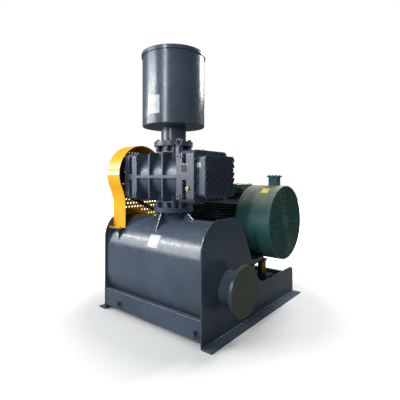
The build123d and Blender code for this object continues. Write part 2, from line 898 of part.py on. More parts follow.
def gear_outline(phase):
    """Corner points of the gear edge, with the first tooth centred on the phase angle."""
    base_r = rotor_pitch_r * cos(pressure_angle)
    root_r = rotor_pitch_r - 1.25 * gear_module
    half_tooth = pi / (2 * gear_teeth) - gear_backlash / 2 / rotor_pitch_r
    radii = (base_r + 0.1, rotor_pitch_r - 1.5, rotor_pitch_r + 1.5, rotor_pitch_r + gear_module)
    points = []
    for tooth in range(gear_teeth):
        middle = phase + 2 * pi * tooth / gear_teeth
        flank = []
        for r in radii:
            half = half_tooth + involute(pressure_angle) - involute(acos(base_r / r))
            flank.append((r, half))
        root_half = flank[0][1]
        points.append((root_r, middle - root_half))
        points.extend((r, middle - half) for r, half in flank)
        points.extend((r, middle + half) for r, half in reversed(flank))
        points.append((root_r, middle + root_half))
    return [(r * cos(a), r * sin(a)) for r, a in points]


def timing_gear(y, phase):
    """Gear on the shaft at y, with a recessed web and a clamping nut's seat."""
    with BuildPart() as gear:
        with BuildSketch(at_x(gear_start_x)):
            with Locations((y, pump_z)):
                with BuildSketch(mode=Mode.PRIVATE) as edge:
                    with BuildLine():
                        Polyline(*gear_outline(phase), close=True)
                    make_face()
                add(edge.sketch)
                Circle(shaft_r, mode=Mode.SUBTRACT)
        extrude(amount=gear_t)
        for face_x, way in ((gear_start_x, 1), (gear_start_x + gear_t, -1)):
            with BuildSketch(at_x(face_x)):
                with Locations((y, pump_z)):
                    Circle(rotor_pitch_r - 14)
                    Circle(shaft_r + 14, mode=Mode.SUBTRACT)
            extrude(amount=way * 12, mode=Mode.SUBTRACT)
    return gear.part


save_on_pump(timing_gear(drive_y, 0.0), "drive_gear")
save_on_pump(timing_gear(driven_y, pi / gear_teeth), "driven_gear")

# Roller bearings in the heads, and the seal rings next to the rotors
with BuildPart() as pump_bearings:
    for start in (-head_out_x + pocket_depth - bearing_t, head_out_x - pocket_depth):
        with BuildSketch(at_x(start)):
            with Locations((drive_y, pump_z), (driven_y, pump_z)):
                Circle(bearing_r)
                Circle(shaft_r + seal_gap, mode=Mode.SUBTRACT)
        extrude(amount=bearing_t)
        for face_x, way in ((start, 1), (start + bearing_t, -1)):
            with BuildSketch(at_x(face_x)):
                with Locations((drive_y, pump_z), (driven_y, pump_z)):
                    Circle(bearing_r - 9)
                    Circle(shaft_r + 9, mode=Mode.SUBTRACT)
            extrude(amount=way * 3, mode=Mode.SUBTRACT)
save_on_pump(pump_bearings.part, "pump_bearings")

with BuildPart() as shaft_seals:
    for start in (-head_in_x - 30, head_in_x):
        with BuildSketch(at_x(start)):
            with Locations((drive_y, pump_z), (driven_y, pump_z)):
                Circle(shaft_r + shaft_hole_gap)
                Circle(shaft_r + seal_gap, mode=Mode.SUBTRACT)
        extrude(amount=30)
    with BuildSketch(at_x(-drive_cover_x)):
        with Locations((drive_y, pump_z)):
            Circle(shaft_r + shaft_hole_gap)
            Circle(shaft_r + seal_gap, mode=Mode.SUBTRACT)
    extrude(amount=end_cover_t)
save_on_pump(shaft_seals.part, "shaft_seals")

# Belt-side end cover and its screws
end_cover_y = head_half_y - end_cover_inset_y
end_cover_z = head_half_z - end_cover_inset_z
screw_y = end_cover_y - cover_screw_inset
screw_z = end_cover_z - cover_screw_inset
cover_screw_places = [(edge * screw_y, z) for edge in (-1, 1) for z in (-0.7 * screw_z, 0, 0.7 * screw_z)]
cover_screw_places += [(y, edge * screw_z) for edge in (-1, 1) for y in (-screw_y / 3, screw_y / 3)]
with BuildPart() as belt_side_cover:
    with BuildSketch(at_x(-drive_cover_x)):
        add(pump_outline(end_cover_y, end_cover_z, head_corner_r - 5))
        with Locations((drive_y, pump_z)):
            Circle(shaft_r + shaft_hole_gap, mode=Mode.SUBTRACT)
        with Locations(*[(pump_y + y, pump_z + z) for y, z in cover_screw_places]):
            Circle(5, mode=Mode.SUBTRACT)
    extrude(amount=end_cover_t)
save_on_pump(belt_side_cover.part, "belt_side_cover")

with BuildPart() as cover_screws:
    for y, z in cover_screw_places:
        place = Plane(origin=(-drive_cover_x, pump_y + y, pump_z + z), z_dir=(-1, 0, 0))
        with Locations(place):
            add(hex_bolt(9.0, 6.0, 5.0, end_cover_t))
save_on_pump(cover_screws.part, "cover_screws")

# Gear cover: flange, body and three bands of slanted cooling fins on the end face
gear_flange_x = head_out_x
gear_body_x = gear_flange_x + gear_cover_flange_t
gear_cover_half_y = head_half_y - gear_cover_inset_y
gear_cover_half_z = head_half_z - gear_cover_inset_z
fin_count = int((gear_cover_half_y + fin_overhang) / fin_pitch) + 2
fin_band = 2 * (gear_cover_half_z + fin_overhang) / 3
fin_shift = fin_band * sin(radians(fin_lean)) / cos(radians(fin_lean))
cover_bolt_y = head_half_y - cover_bolt_land
cover_bolt_z = head_half_z - cover_bolt_land
side_step = 2 * (cover_bolt_z - 59.5) / 3
top_step = (cover_bolt_y - 54) / 2
cover_bolt_places = [
    (edge * cover_bolt_y, step * side_step) for edge in (-1, 1) for step in (-1.5, -0.5, 0.5, 1.5)
]
cover_bolt_places += [(step * top_step, edge * cover_bolt_z) for edge in (-1, 1) for step in range(-2, 3)]
with BuildPart() as gear_cover:
    with BuildSketch(at_x(gear_flange_x)):
        add(pump_outline(head_half_y, head_half_z, head_corner_r))
        with Locations(*[(pump_y + y, pump_z + z) for y, z in cover_bolt_places]):
            Circle(6.5, mode=Mode.SUBTRACT)
    extrude(amount=gear_cover_flange_t)
    with BuildSketch(at_x(gear_body_x)):
        add(pump_outline(gear_cover_half_y, gear_cover_half_z, 25))
    extrude(amount=gear_cover_depth)
    with BuildSketch(at_x(gear_face_x - fin_root)):
        for band in range(3):
            lean = -fin_shift if band == 1 else fin_shift
            with BuildSketch(mode=Mode.PRIVATE) as fin:
                with BuildLine():
                    Polyline(
                        (lean / 2 - fin_t / 2, 0),
                        (lean / 2 + fin_t / 2, 0),
                        (fin_t / 2 - lean / 2, fin_band),
                        (-fin_t / 2 - lean / 2, fin_band),
                        close=True,
                    )
                make_face()
            band_z = pump_z + (band - 1.5) * fin_band
            fin_places = [(pump_y + count * fin_pitch, band_z) for count in range(-fin_count, fin_count + 1)]
            with Locations(*fin_places):
                add(fin.sketch)
        add(
            pump_outline(gear_cover_half_y + fin_overhang, gear_cover_half_z + fin_overhang, 25),
            mode=Mode.INTERSECT,
        )
    extrude(amount=fin_height + fin_root)
    with BuildSketch(at_x(gear_flange_x)):
        add(pump_outline(gear_cover_half_y - gear_cover_wall, gear_cover_half_z - gear_cover_wall, 15))
    extrude(amount=gear_cover_flange_t + gear_cover_depth - gear_cover_wall, mode=Mode.SUBTRACT)
save_on_pump(gear_cover.part, "gear_cover")

with BuildPart() as gear_cover_bolts:
    for y, z in cover_bolt_places:
        place = Plane(origin=(gear_body_x, pump_y + y, pump_z + z), z_dir=(1, 0, 0))
        with Locations(place):
            add(hex_bolt(10.5, 8.0, 6.5, gear_cover_flange_t, 12.5, 2.5))
save_on_pump(gear_cover_bolts.part, "gear_cover_bolts")

# Oil sight glasses and filler plugs on the heads
sight_r = 17.0
sight_t = 10.0
sight_drop = 94.0
sight_inset_left = 30.0
sight_inset_right = 40.0
plug_r = 13.0
plug_y = pump_y - 60.0
with BuildPart() as sight_glasses:
    for x in (-head_out_x + sight_inset_left, head_out_x - sight_inset_right):
        with BuildSketch(at_y(pump_y - head_half_y)):
            with Locations((x, pump_z - sight_drop)):
                Circle(sight_r)
        extrude(amount=sight_t)
        with BuildSketch(at_y(pump_y - head_half_y - sight_t)):
            with Locations((x, pump_z - sight_drop)):
                RegularPolygon(sight_r * 0.8, 6)
                Circle(sight_r * 0.5, mode=Mode.SUBTRACT)
        extrude(amount=4)
save_on_pump(sight_glasses.part, "sight_glasses")

with BuildPart() as oil_plugs:
    for x in (-head_out_x + 30, head_out_x - 26):
        with BuildSketch(Plane.XY.offset(pump_z + head_half_z)):
            with Locations((x, plug_y)):
                Circle(plug_r)
        extrude(amount=4)
        with BuildSketch(Plane.XY.offset(pump_z + head_half_z + 4)):
            with Locations((x, plug_y)):
                RegularPolygon(plug_r * 0.75, 6)
        extrude(amount=9)
        with BuildSketch(Plane.XY.offset(pump_z - head_half_z)):
            with Locations((x, plug_y)):
                RegularPolygon(plug_r, 6)
        extrude(amount=-9)
save_on_pump(oil_plugs.part, "oil_plugs")

# Bolts of the two port flanges, put in from the pipe side
with BuildPart() as port_bolts:
    for face_z, way in ((stub_flange_z, -1), (casing_high_z + flange_t, 1)):
        for index in range(flange_bolts):
            turn = radians((index + 0.5) * 360 / flange_bolts)
            x = flange_pcd / 2 * cos(turn)
            y = pump_y + flange_pcd / 2 * sin(turn)
            place = Plane(origin=(x, y, face_z), z_dir=(0, 0, way))
            with Locations(place):
                add(hex_bolt(16.5, 12.5, tapped_r, flange_t + tapped_depth - 2, 17.0, 3.0))
save_on_pump(port_bolts.part, "port_bolts")

# Intake pipe with its flange
with BuildPart() as intake_pipe:
    with BuildSketch(Plane.XY.offset(casing_high_z)):
        with Locations((0, pump_y)):
            Circle(flange_r)
    extrude(amount=flange_t)
    with BuildSketch(Plane.XY.offset(casing_high_z)):
        with Locations((0, pump_y)):
            Circle(pipe_r)
    extrude(amount=flange_t + intake_pipe_length)
    with BuildSketch(Plane.XY.offset(casing_high_z)):
        with Locations((0, pump_y)):
            Circle(pipe_r - pipe_wall)
    extrude(amount=flange_t + intake_pipe_length, mode=Mode.SUBTRACT)
    with Locations((0, pump_y, casing_high_z + flange_t)):
        with PolarLocations(flange_pcd / 2, flange_bolts, start_angle=180 / flange_bolts):
            Hole(flange_hole_r, depth=flange_t)
save_on_pump(intake_pipe.part, "intake_pipe")

# Intake silencer: rolled shell with its floor, lid on studs, filter and lining
with BuildPart() as intake_shell:
    with BuildSketch(Plane.XY.offset(intake_low_z)):
        with Locations((0, pump_y)):
            Circle(intake_r)
    extrude(amount=intake_height)
    rim = intake_shell.edges().filter_by(GeomType.CIRCLE).sort_by(Axis.Z)[0]
    fillet(rim, 8)
    with BuildSketch(Plane.XY.offset(intake_low_z + intake_wall)):
        with Locations((0, pump_y)):
            Circle(intake_r - intake_wall)
    extrude(amount=intake_height, mode=Mode.SUBTRACT)
    with BuildSketch(Plane.XY.offset(intake_low_z)):
        with Locations((0, pump_y)):
            Circle(pipe_r - pipe_wall)
    extrude(amount=intake_wall, mode=Mode.SUBTRACT)
save_on_pump(intake_shell.part, "intake_shell")

with BuildPart() as intake_lid:
    with BuildSketch(Plane.XY.offset(lid_low_z)):
        with Locations((0, pump_y)):
            Circle(lid_r)
    extrude(amount=lid_rim)
    top_edge = intake_lid.edges().filter_by(GeomType.CIRCLE).sort_by(Axis.Z)[-1]
    fillet(top_edge, 6)
    with BuildSketch(Plane.XY.offset(lid_low_z)):
        with Locations((0, pump_y)):
            Circle(lid_r - lid_wall)
    extrude(amount=lid_rim - lid_wall, mode=Mode.SUBTRACT)
save_on_pump(intake_lid.part, "intake_lid")

with BuildPart() as intake_filter:
    with BuildSketch(Plane.XY.offset(intake_low_z + intake_wall)):
        with Locations((0, pump_y)):
            Circle(filter_r + filter_cap)
            Circle(filter_r - filter_wall, mode=Mode.SUBTRACT)
    extrude(amount=filter_cap_t)
    with BuildSketch(Plane.XY.offset(intake_low_z + intake_wall + filter_cap_t)):
        with Locations((0, pump_y)):
            Circle(filter_r)
            Circle(filter_r - filter_wall, mode=Mode.SUBTRACT)
    extrude(amount=intake_height - filter_top_gap - filter_cap_t)
    with BuildSketch(Plane.XY.offset(intake_low_z + intake_wall + intake_height - filter_top_gap)):
        with Locations((0, pump_y)):
            Circle(filter_r + filter_cap)
    extrude(amount=filter_cap_t)
save_on_pump(intake_filter.part, "intake_filter")

with BuildPart() as intake_lining:
    with BuildSketch(Plane.XY.offset(intake_low_z + 20)):
        with Locations((0, pump_y)):
            Circle(intake_r - intake_wall)
            Circle(lining_inner_r, mode=Mode.SUBTRACT)
    extrude(amount=intake_height - 60)
save_on_pump(intake_lining.part, "intake_lining")

# Four studs from the floor of the silencer to the lid, with nuts on top
stud_circle_r = (lining_inner_r + filter_r + filter_cap) / 2
stud_r = 8.0
with BuildPart() as lid_studs:
    with BuildSketch(Plane.XY.offset(intake_low_z + intake_wall)):
        with Locations((0, pump_y)):
            with PolarLocations(stud_circle_r, 4, start_angle=45):
                Circle(stud_r)
    extrude(amount=lid_top_z - lid_wall - intake_low_z - intake_wall)
    with BuildSketch(Plane.XY.offset(intake_low_z + intake_wall)):
        with Locations((0, pump_y)):
            with PolarLocations(stud_circle_r, 4, start_angle=45):
                Circle(stud_r * 1.8)
    extrude(amount=14)
    with BuildSketch(Plane.XY.offset(lid_top_z)):
        with Locations((0, pump_y)):
            with PolarLocations(stud_circle_r, 4, start_angle=45):
                Circle(stud_r * 2)
    extrude(amount=2.5)
    with BuildSketch(Plane.XY.offset(lid_top_z + 2.5)):
        with Locations((0, pump_y)):
            with PolarLocations(stud_circle_r, 4, start_angle=45):
                RegularPolygon(stud_r * 1.6, 6)
    extrude(amount=7)
save_on_pump(lid_studs.part, "lid_studs")

# Motor frame: tube with cooling fins all round and two foot rails
motor_inner_r = frame_r - frame_wall
foot_t = 25.0
foot_top_z = seat_top_z + foot_t
foot_inner_y = foot_span_y / 2 - 64
foot_outer_y = foot_span_y / 2 + 36
foot_web_y = foot_span_y / 2 - 39
foot_web_top = motor_z - 150.0
foot_start = 60.0
fin_floor_gap = 15.0
side_fins = 7
top_fins = 5
with BuildPart() as motor_frame:
    with BuildSketch(at_x(frame_front_x)) as frame_section:
        with Locations((motor_y, motor_z)):
            Circle(frame_r)
        with Locations(*[
            (motor_y, motor_z + count * motor_fin_pitch) for count in range(-side_fins, side_fins + 1)
        ]):
            Rectangle(2 * fin_tip_r, motor_fin_t)
        with Locations(*[
            (motor_y + count * motor_fin_pitch, motor_z) for count in range(-top_fins, top_fins + 1)
        ]):
            Rectangle(motor_fin_t, 2 * fin_tip_r)
        with Locations((motor_y, motor_z)):
            Circle(fin_tip_r, mode=Mode.INTERSECT)
        with Locations((motor_y, seat_top_z + fin_floor_gap - fin_tip_r / 2)):
            Rectangle(2 * fin_tip_r, fin_tip_r, mode=Mode.SUBTRACT)
    extrude(amount=frame_back_x - frame_front_x)
    with BuildSketch(at_x(frame_front_x + foot_start)):
        for edge in (-1, 1):
            foot_y = motor_y + edge * (foot_inner_y + foot_outer_y) / 2
            with Locations((foot_y, seat_top_z + foot_t / 2)):
                Rectangle(foot_outer_y - foot_inner_y, foot_t)
            with Locations((motor_y + edge * foot_web_y, (foot_top_z + foot_web_top) / 2)):
                Rectangle(30, foot_web_top - foot_top_z + 2)
    extrude(amount=frame_back_x - frame_front_x - foot_start)
    with BuildSketch(at_x(frame_front_x)):
        with Locations((motor_y, motor_z)):
            Circle(motor_inner_r)
    extrude(amount=frame_back_x - frame_front_x, mode=Mode.SUBTRACT)
    with BuildSketch(Plane.XY.offset(motor_z + motor_inner_r + 6)):
        with Locations((terminal_mid_x, motor_y)):
            Rectangle(terminal_length - 60, 2 * terminal_half_y - 70)
    extrude(amount=terminal_low_z - motor_z - motor_inner_r - 6)
    with BuildSketch(Plane.XY.offset(terminal_low_z)):
        with Locations((terminal_mid_x, motor_y)):
            Rectangle(terminal_length, 2 * terminal_half_y)
    extrude(amount=60, mode=Mode.SUBTRACT)
    with BuildSketch(Plane.XY.offset(seat_top_z)):
        with Locations(*[
            (foot_first_x + x, motor_y + edge * foot_span_y / 2)
            for x in (0, foot_span_x)
            for edge in (-1, 1)
        ]):
            Circle(14)
    extrude(amount=foot_top_z - seat_top_z, mode=Mode.SUBTRACT)
save(motor_frame.part, "motor_frame")


def end_shield(low_x, thickness):
    """Motor end shield with its bearing seat."""
    with BuildPart() as shield:
        with BuildSketch(at_x(low_x)):
            with Locations((motor_y, motor_z)):
                Circle(shield_r)
                Circle(motor_bearing_r, mode=Mode.SUBTRACT)
        extrude(amount=thickness)
    return shield.part


save(end_shield(frame_front_x - shield_t, shield_t), "drive_end_shield")
save(end_shield(frame_back_x, shield_t), "fan_end_shield")

with BuildPart() as motor_bearings:
    for start in (frame_front_x - shield_t, frame_back_x):
        with BuildSketch(at_x(start)):
            with Locations((motor_y, motor_z)):
                Circle(motor_bearing_r)
                Circle(motor_shaft_r + seal_gap, mode=Mode.SUBTRACT)
        extrude(amount=shield_t)
        for face_x, way in ((start, 1), (start + shield_t, -1)):
            with BuildSketch(at_x(face_x)):
                with Locations((motor_y, motor_z)):
                    Circle(motor_bearing_r - 14)
                    Circle(motor_shaft_r + 14, mode=Mode.SUBTRACT)
            extrude(amount=way * 4, mode=Mode.SUBTRACT)
save(motor_bearings.part, "motor_bearings")

stator_first_x = frame_front_x + 120.0
stator_last_x = frame_back_x - 102.0
winding_reach = 70.0
with BuildPart() as stator_core:
    with BuildSketch(at_x(stator_first_x)):
        with Locations((motor_y, motor_z)):
            Circle(motor_inner_r)
            Circle(stator_inner_r, mode=Mode.SUBTRACT)
    extrude(amount=stator_last_x - stator_first_x)
    for start in (stator_first_x - winding_reach, stator_last_x):
        with BuildSketch(at_x(start)):
            with Locations((motor_y, motor_z)):
                Circle(motor_inner_r - 14)
                Circle(stator_inner_r + 14, mode=Mode.SUBTRACT)
        extrude(amount=winding_reach)
save(stator_core.part, "stator_core")

with BuildPart() as motor_rotor:
    with BuildSketch(at_x(motor_shaft_end_x)):
        with Locations((motor_y, motor_z)):
            Circle(motor_shaft_r)
    extrude(amount=fan_x + fan_width - motor_shaft_end_x + 6)
    with BuildSketch(at_x(stator_first_x)):
        with Locations((motor_y, motor_z)):
            Circle(stator_inner_r - air_gap)
    extrude(amount=stator_last_x - stator_first_x)
    chamfer(motor_rotor.edges().filter_by(GeomType.CIRCLE).sort_by(Axis.X)[0], 3)
save(motor_rotor.part, "motor_rotor")

with BuildPart() as motor_fan:
    with BuildSketch(at_x(fan_x)):
        with Locations((motor_y, motor_z)):
            Circle(fan_r - 40)
    extrude(amount=6)
    with BuildSketch(at_x(fan_x)):
        with Locations((motor_y, motor_z)):
            Circle(motor_shaft_r + 30)
    extrude(amount=fan_width)
    with BuildSketch(at_x(fan_x)):
        with Locations((motor_y, motor_z)):
            with PolarLocations((motor_shaft_r + 20 + fan_r) / 2, fan_blades):
                Rectangle(fan_r - motor_shaft_r - 20, 8)
    extrude(amount=fan_width)
    with BuildSketch(at_x(fan_x)):
        with Locations((motor_y, motor_z)):
            Circle(motor_shaft_r)
    extrude(amount=fan_width, mode=Mode.SUBTRACT)
save(motor_fan.part, "motor_fan")

# Fan cowl with brackets to the end shield and a grille of ring slots
grille_r = cowl_r - 14.0
grille_hub_r = 66.0
grille_rings = 13
grille_bar = 9.0
grille_t = 4.0
cowl_bracket_t = 20.0
with BuildPart() as fan_cowl:
    with BuildSketch(at_x(frame_back_x)):
        with Locations((motor_y, motor_z)):
            Circle(cowl_r)
            Circle(cowl_r - cowl_wall, mode=Mode.SUBTRACT)
    extrude(amount=cowl_end_x - frame_back_x)
    with BuildSketch(at_x(cowl_end_x - cowl_wall)):
        with Locations((motor_y, motor_z)):
            Circle(cowl_r)
            Circle(grille_r, mode=Mode.SUBTRACT)
    extrude(amount=cowl_wall)
    with BuildSketch(at_x(frame_back_x + 4)):
        with Locations((motor_y, motor_z)):
            with PolarLocations((shield_r + cowl_r) / 2, 4, start_angle=45):
                Rectangle(cowl_r - shield_r - 1, 40)
            Circle(shield_r, mode=Mode.SUBTRACT)
    extrude(amount=cowl_bracket_t)
    outer = fan_cowl.edges().filter_by(GeomType.CIRCLE).sort_by(Axis.X)[-2:].sort_by(SortBy.RADIUS)[-1]
    fillet(outer, 3)
    with BuildSketch(at_x(cowl_end_x - grille_t)):
        with Locations((motor_y, motor_z)):
            Circle(grille_r)
            ring_step = (grille_r - grille_hub_r) / grille_rings
            for ring in range(grille_rings):
                inner_r = grille_hub_r + ring * ring_step
                with BuildSketch(mode=Mode.PRIVATE) as slots:
                    Circle(inner_r + ring_step - grille_bar / 2)
                    Circle(inner_r + grille_bar / 2, mode=Mode.SUBTRACT)
                    Rectangle(2 * grille_r, grille_bar, mode=Mode.SUBTRACT)
                    Rectangle(grille_bar, 2 * grille_r, mode=Mode.SUBTRACT)
                add(slots.sketch, mode=Mode.SUBTRACT)
    extrude(amount=grille_t)
    with BuildSketch(at_x(cowl_end_x)):
        with Locations((motor_y, motor_z)):
            Circle(grille_hub_r)
    extrude(amount=2)
save(fan_cowl.part, "fan_cowl")

# Terminal box, its lid, and the small junction box on the fan cowl
with BuildPart() as terminal_box:
    with BuildSketch(Plane.XY.offset(terminal_low_z)):
        with Locations((terminal_mid_x, motor_y)):
            RectangleRounded(terminal_length - 16, 2 * terminal_half_y - 16, 20)
    extrude(amount=terminal_split_z - terminal_low_z)
    with BuildSketch(Plane.XY.offset(terminal_low_z + 8)):
        with Locations((terminal_mid_x, motor_y)):
            RectangleRounded(terminal_length - 36, 2 * terminal_half_y - 36, 12)
    extrude(amount=terminal_split_z - terminal_low_z - 8, mode=Mode.SUBTRACT)
save(terminal_box.part, "terminal_box")

with BuildPart() as terminal_lid:
    with BuildSketch(Plane.XY.offset(terminal_split_z)):
        with Locations((terminal_mid_x, motor_y)):
            RectangleRounded(terminal_length, 2 * terminal_half_y, 24)
    extrude(amount=terminal_top_z - terminal_split_z)
    fillet(terminal_lid.faces().sort_by(Axis.Z)[-1].edges(), 8)
    with BuildSketch(Plane.XY.offset(terminal_split_z)):
        with Locations((terminal_mid_x, motor_y)):
            RectangleRounded(terminal_length - 36, 2 * terminal_half_y - 36, 12)
    extrude(amount=terminal_top_z - terminal_split_z - 12, mode=Mode.SUBTRACT)
save(terminal_lid.part, "terminal_lid")

aux_half_x = 47.0
aux_half_y = 43.0
aux_low_z = motor_z + cowl_r - 8.0
aux_split_z = aux_low_z + 89.0
aux_lid_half = 57.0
aux_lid_t = 16.0
with BuildPart() as aux_box:
    with BuildSketch(Plane.XY.offset(aux_low_z)):
        with Locations((aux_x, motor_y)):
            RectangleRounded(2 * aux_half_x, 2 * aux_half_y, 12)
    extrude(amount=aux_split_z - aux_low_z)
    with BuildSketch(Plane.XY.offset(aux_split_z)):
        with Locations((aux_x, motor_y)):
            RectangleRounded(2 * aux_lid_half, 2 * aux_lid_half, 12)
    extrude(amount=aux_lid_t)
    fillet(aux_box.faces().sort_by(Axis.Z)[-1].edges(), 4)
    with BuildSketch(at_x(frame_back_x)):
        with Locations((motor_y, motor_z)):
            Circle(cowl_r)
    extrude(amount=cowl_end_x - frame_back_x, mode=Mode.SUBTRACT)
save(aux_box.part, "aux_box")

# Swinging seat: plate, hinge lugs, a notch for the fan cowl and a bar that rests on the posts
notch_gap = 7.5
seat_notch_half = sqrt(max(cowl_r**2 - shaft_height**2, 0)) + notch_gap
bar_width = 60.0
bar_gap = 4.0
bar_end_t = 25.0
bar_step_x = frame_back_x - 22.0
bar_end_top = min(motor_z - cowl_r - bar_gap, seat_low_z)
bar_low_z = bar_end_top - bar_end_t
bar_half_x = post_x + post_r
rail_t = 16.0
rail_tip = 6.0
rail_end_y = motor_y - 165.0
foot_hole_r = 14.0
foot_places = [
    (foot_first_x + x, motor_y + edge * foot_span_y / 2) for x in (0, foot_span_x) for edge in (-1, 1)
]
with BuildPart() as motor_seat:
    with BuildSketch(Plane.XY.offset(seat_low_z)):
        with Locations((0, (seat_front_y + seat_back_y) / 2)):
            Rectangle(2 * seat_half_x, seat_back_y - seat_front_y)
        with Locations((seat_half_x, motor_y)):
            Rectangle(2 * (seat_half_x - frame_back_x + 8), 2 * seat_notch_half, mode=Mode.SUBTRACT)
        with Locations(*foot_places):
            Circle(foot_hole_r, mode=Mode.SUBTRACT)
    extrude(amount=seat_t)
    for low_x in (-seat_half_x, seat_half_x - rail_t):
        with BuildSketch(at_x(low_x)):
            with BuildLine():
                Polyline(
                    (hinge_y, hinge_z - hinge_lug_r),
                    (rail_end_y, seat_low_z - rail_tip),
                    (rail_end_y, seat_low_z),
                    (hinge_y, seat_low_z),
                    close=True,
                )
            make_face()
            with BuildLine():
                Polyline(
                    (hinge_y, hinge_z + hinge_lug_r - 8),
                    (seat_front_y + 12, seat_top_z),
                    (seat_front_y + 12, seat_low_z),
                    (hinge_y, seat_low_z),
                    close=True,
                )
            make_face()
            with Locations((hinge_y, hinge_z)):
                Circle(hinge_lug_r)
        extrude(amount=rail_t)
    with BuildSketch(at_x(-seat_half_x)):
        with Locations((hinge_y, hinge_z)):
            Circle(hinge_r + hinge_clearance)
    extrude(amount=2 * seat_half_x, mode=Mode.SUBTRACT)
    with BuildSketch(at_y(post_y)):
        with BuildLine():
            Polyline(
                (-bar_half_x, bar_low_z),
                (bar_half_x, bar_low_z),
                (bar_half_x, bar_end_top),
                (bar_step_x, bar_end_top),
                (bar_step_x, seat_low_z),
                (-bar_half_x, seat_low_z),
                close=True,
            )
        make_face()
    extrude(amount=bar_width / 2, both=True)
save(motor_seat.part, "motor_seat")

with BuildPart() as hinge_bar:
    with BuildSketch(at_x(-half_width - hinge_stub)):
        with Locations((hinge_y, hinge_z)):
            Circle(hinge_r)
    extrude(amount=base_width + 2 * hinge_stub)
    chamfer(hinge_bar.edges().filter_by(GeomType.CIRCLE), 2)
save(hinge_bar.part, "hinge_bar")

with BuildPart() as tension_posts:
    with BuildSketch(Plane.XY.offset(beam_top)):
        with Locations((-post_x, post_y), (post_x, post_y)):
            Circle(post_r)
    extrude(amount=bar_low_z - beam_top)
save(tension_posts.part, "tension_posts")

with BuildPart() as motor_bolts:
    for x, y in foot_places:
        with Locations(Plane(origin=(x, y, foot_top_z), z_dir=(0, 0, 1))):
            add(hex_bolt(21.0, 15.0, foot_hole_r - 2, foot_top_z - seat_low_z + 24, 24.0, 4.0))
        with Locations(Plane(origin=(x, y, seat_low_z), z_dir=(0, 0, -1))):
            add(hex_bolt(21.0, 18.0, foot_hole_r - 2, 1.0, 24.0, 4.0))
save(motor_bolts.part, "motor_bolts")

# Grooved pulleys
groove_depth = 15.0
pulley_web = 18.0
pulley_rim_t = 34.0
pulley_hub_r = 62.0


def grooved_pulley(y, z, outer_r, bore):
    """V-belt pulley about the shaft at y, z, turned from one profile, with holes through its web."""
    with BuildPart() as pulley:
        with BuildSketch(Plane(origin=(pulley_centre_x, y, z), x_dir=(1, 0, 0), z_dir=(0, -1, 0))):
            with Locations((0, outer_r - pulley_rim_t / 2)):
                Rectangle(pulley_width, pulley_rim_t)
            with Locations((0, outer_r / 2)):
                Rectangle(pulley_web, outer_r - 20)
            with Locations((0, (pulley_hub_r + bore) / 2)):
                Rectangle(pulley_width - 8, pulley_hub_r - bore)
            for count in range(belt_count):
                middle = (count - (belt_count - 1) / 2) * belt_pitch
                half_top = belt_top_width / 2 + belt_side_gap
                half_low = half_top - groove_depth * (belt_top_width - belt_bottom_width) / 2 / belt_depth
                with BuildLine():
                    Polyline(
                        (middle - half_top, outer_r + 1),
                        (middle + half_top, outer_r + 1),
                        (middle + half_low, outer_r - groove_depth),
                        (middle - half_low, outer_r - groove_depth),
                        close=True,
                    )
                make_face(mode=Mode.SUBTRACT)
            with Locations((0, bore / 2)):
                Rectangle(pulley_width + 2, bore, mode=Mode.SUBTRACT)
        revolve(axis=shaft_axis(y, z))
        with BuildSketch(at_x(pulley_centre_x)):
            with Locations((y, z)):
                with PolarLocations((outer_r - pulley_rim_t + pulley_hub_r) / 2, 5):
                    Circle(28)
        extrude(amount=pulley_web, both=True, mode=Mode.SUBTRACT)
    return pulley.part


save(grooved_pulley(drive_y, pump_z, blower_pulley_r, shaft_r), "blower_pulley")
save(grooved_pulley(motor_y, motor_z, motor_pulley_r, motor_shaft_r), "motor_pulley")

# V-belts, each swept along the two pulleys and the straight runs between them
belt_dy = motor_y - drive_y
belt_dz = motor_z - pump_z
belt_span = hypot(belt_dy, belt_dz)
belt_line = atan2(belt_dz, belt_dy)
belt_turn = acos((blower_pulley_r - motor_pulley_r) / belt_span)
top_normal = degrees(belt_line + belt_turn)
low_normal = degrees(belt_line - belt_turn)


def on_circle(y, z, r, angle):
    """Point at an angle in degrees on a circle across the shafts."""
    return (y + r * cos(radians(angle)), z + r * sin(radians(angle)))


with BuildPart() as v_belts:
    for count in range(belt_count):
        middle = pulley_centre_x + (count - (belt_count - 1) / 2) * belt_pitch
        big = blower_pulley_r
        small = motor_pulley_r
        with BuildLine(at_x(middle)) as run:
            Line(on_circle(drive_y, pump_z, big, top_normal), on_circle(motor_y, motor_z, small, top_normal))
            CenterArc((motor_y, motor_z), small, top_normal, low_normal - top_normal)
            Line(on_circle(motor_y, motor_z, small, low_normal), on_circle(drive_y, pump_z, big, low_normal))
            CenterArc((drive_y, pump_z), big, low_normal, top_normal - low_normal - 360)
        path = run.wire()
        with BuildSketch(Plane(origin=path @ 0, x_dir=(1, 0, 0), z_dir=path % 0)):
            with BuildLine():
                Polyline(
                    (-belt_top_width / 2, 0),
                    (belt_top_width / 2, 0),
                    (belt_bottom_width / 2, belt_depth),
                    (-belt_bottom_width / 2, belt_depth),
                    close=True,
                )
            make_face()
        sweep(path=path)
save(v_belts.part, "v_belts")

# Belt guard: bent band along the outside of the drive, with a perforated panel on the outer face
turn_gap = guard_y - leg_y
turn_rise = guard_z - guard_leg_top
guard_turn_r = (turn_gap**2 + turn_rise**2 - guard_r**2) / (2 * (guard_r - turn_gap))
turn_y = leg_y - guard_turn_r
tail_span = hypot(motor_y - guard_y, motor_z - guard_z)
tail_line = degrees(atan2(motor_z - guard_z, motor_y - guard_y))
tail_normal = tail_line + degrees(acos((guard_r - guard_tail_r) / tail_span))
meet_angle = degrees(atan2(guard_leg_top - guard_z, turn_y - guard_y)) + 360
turn_angle = meet_angle - 180


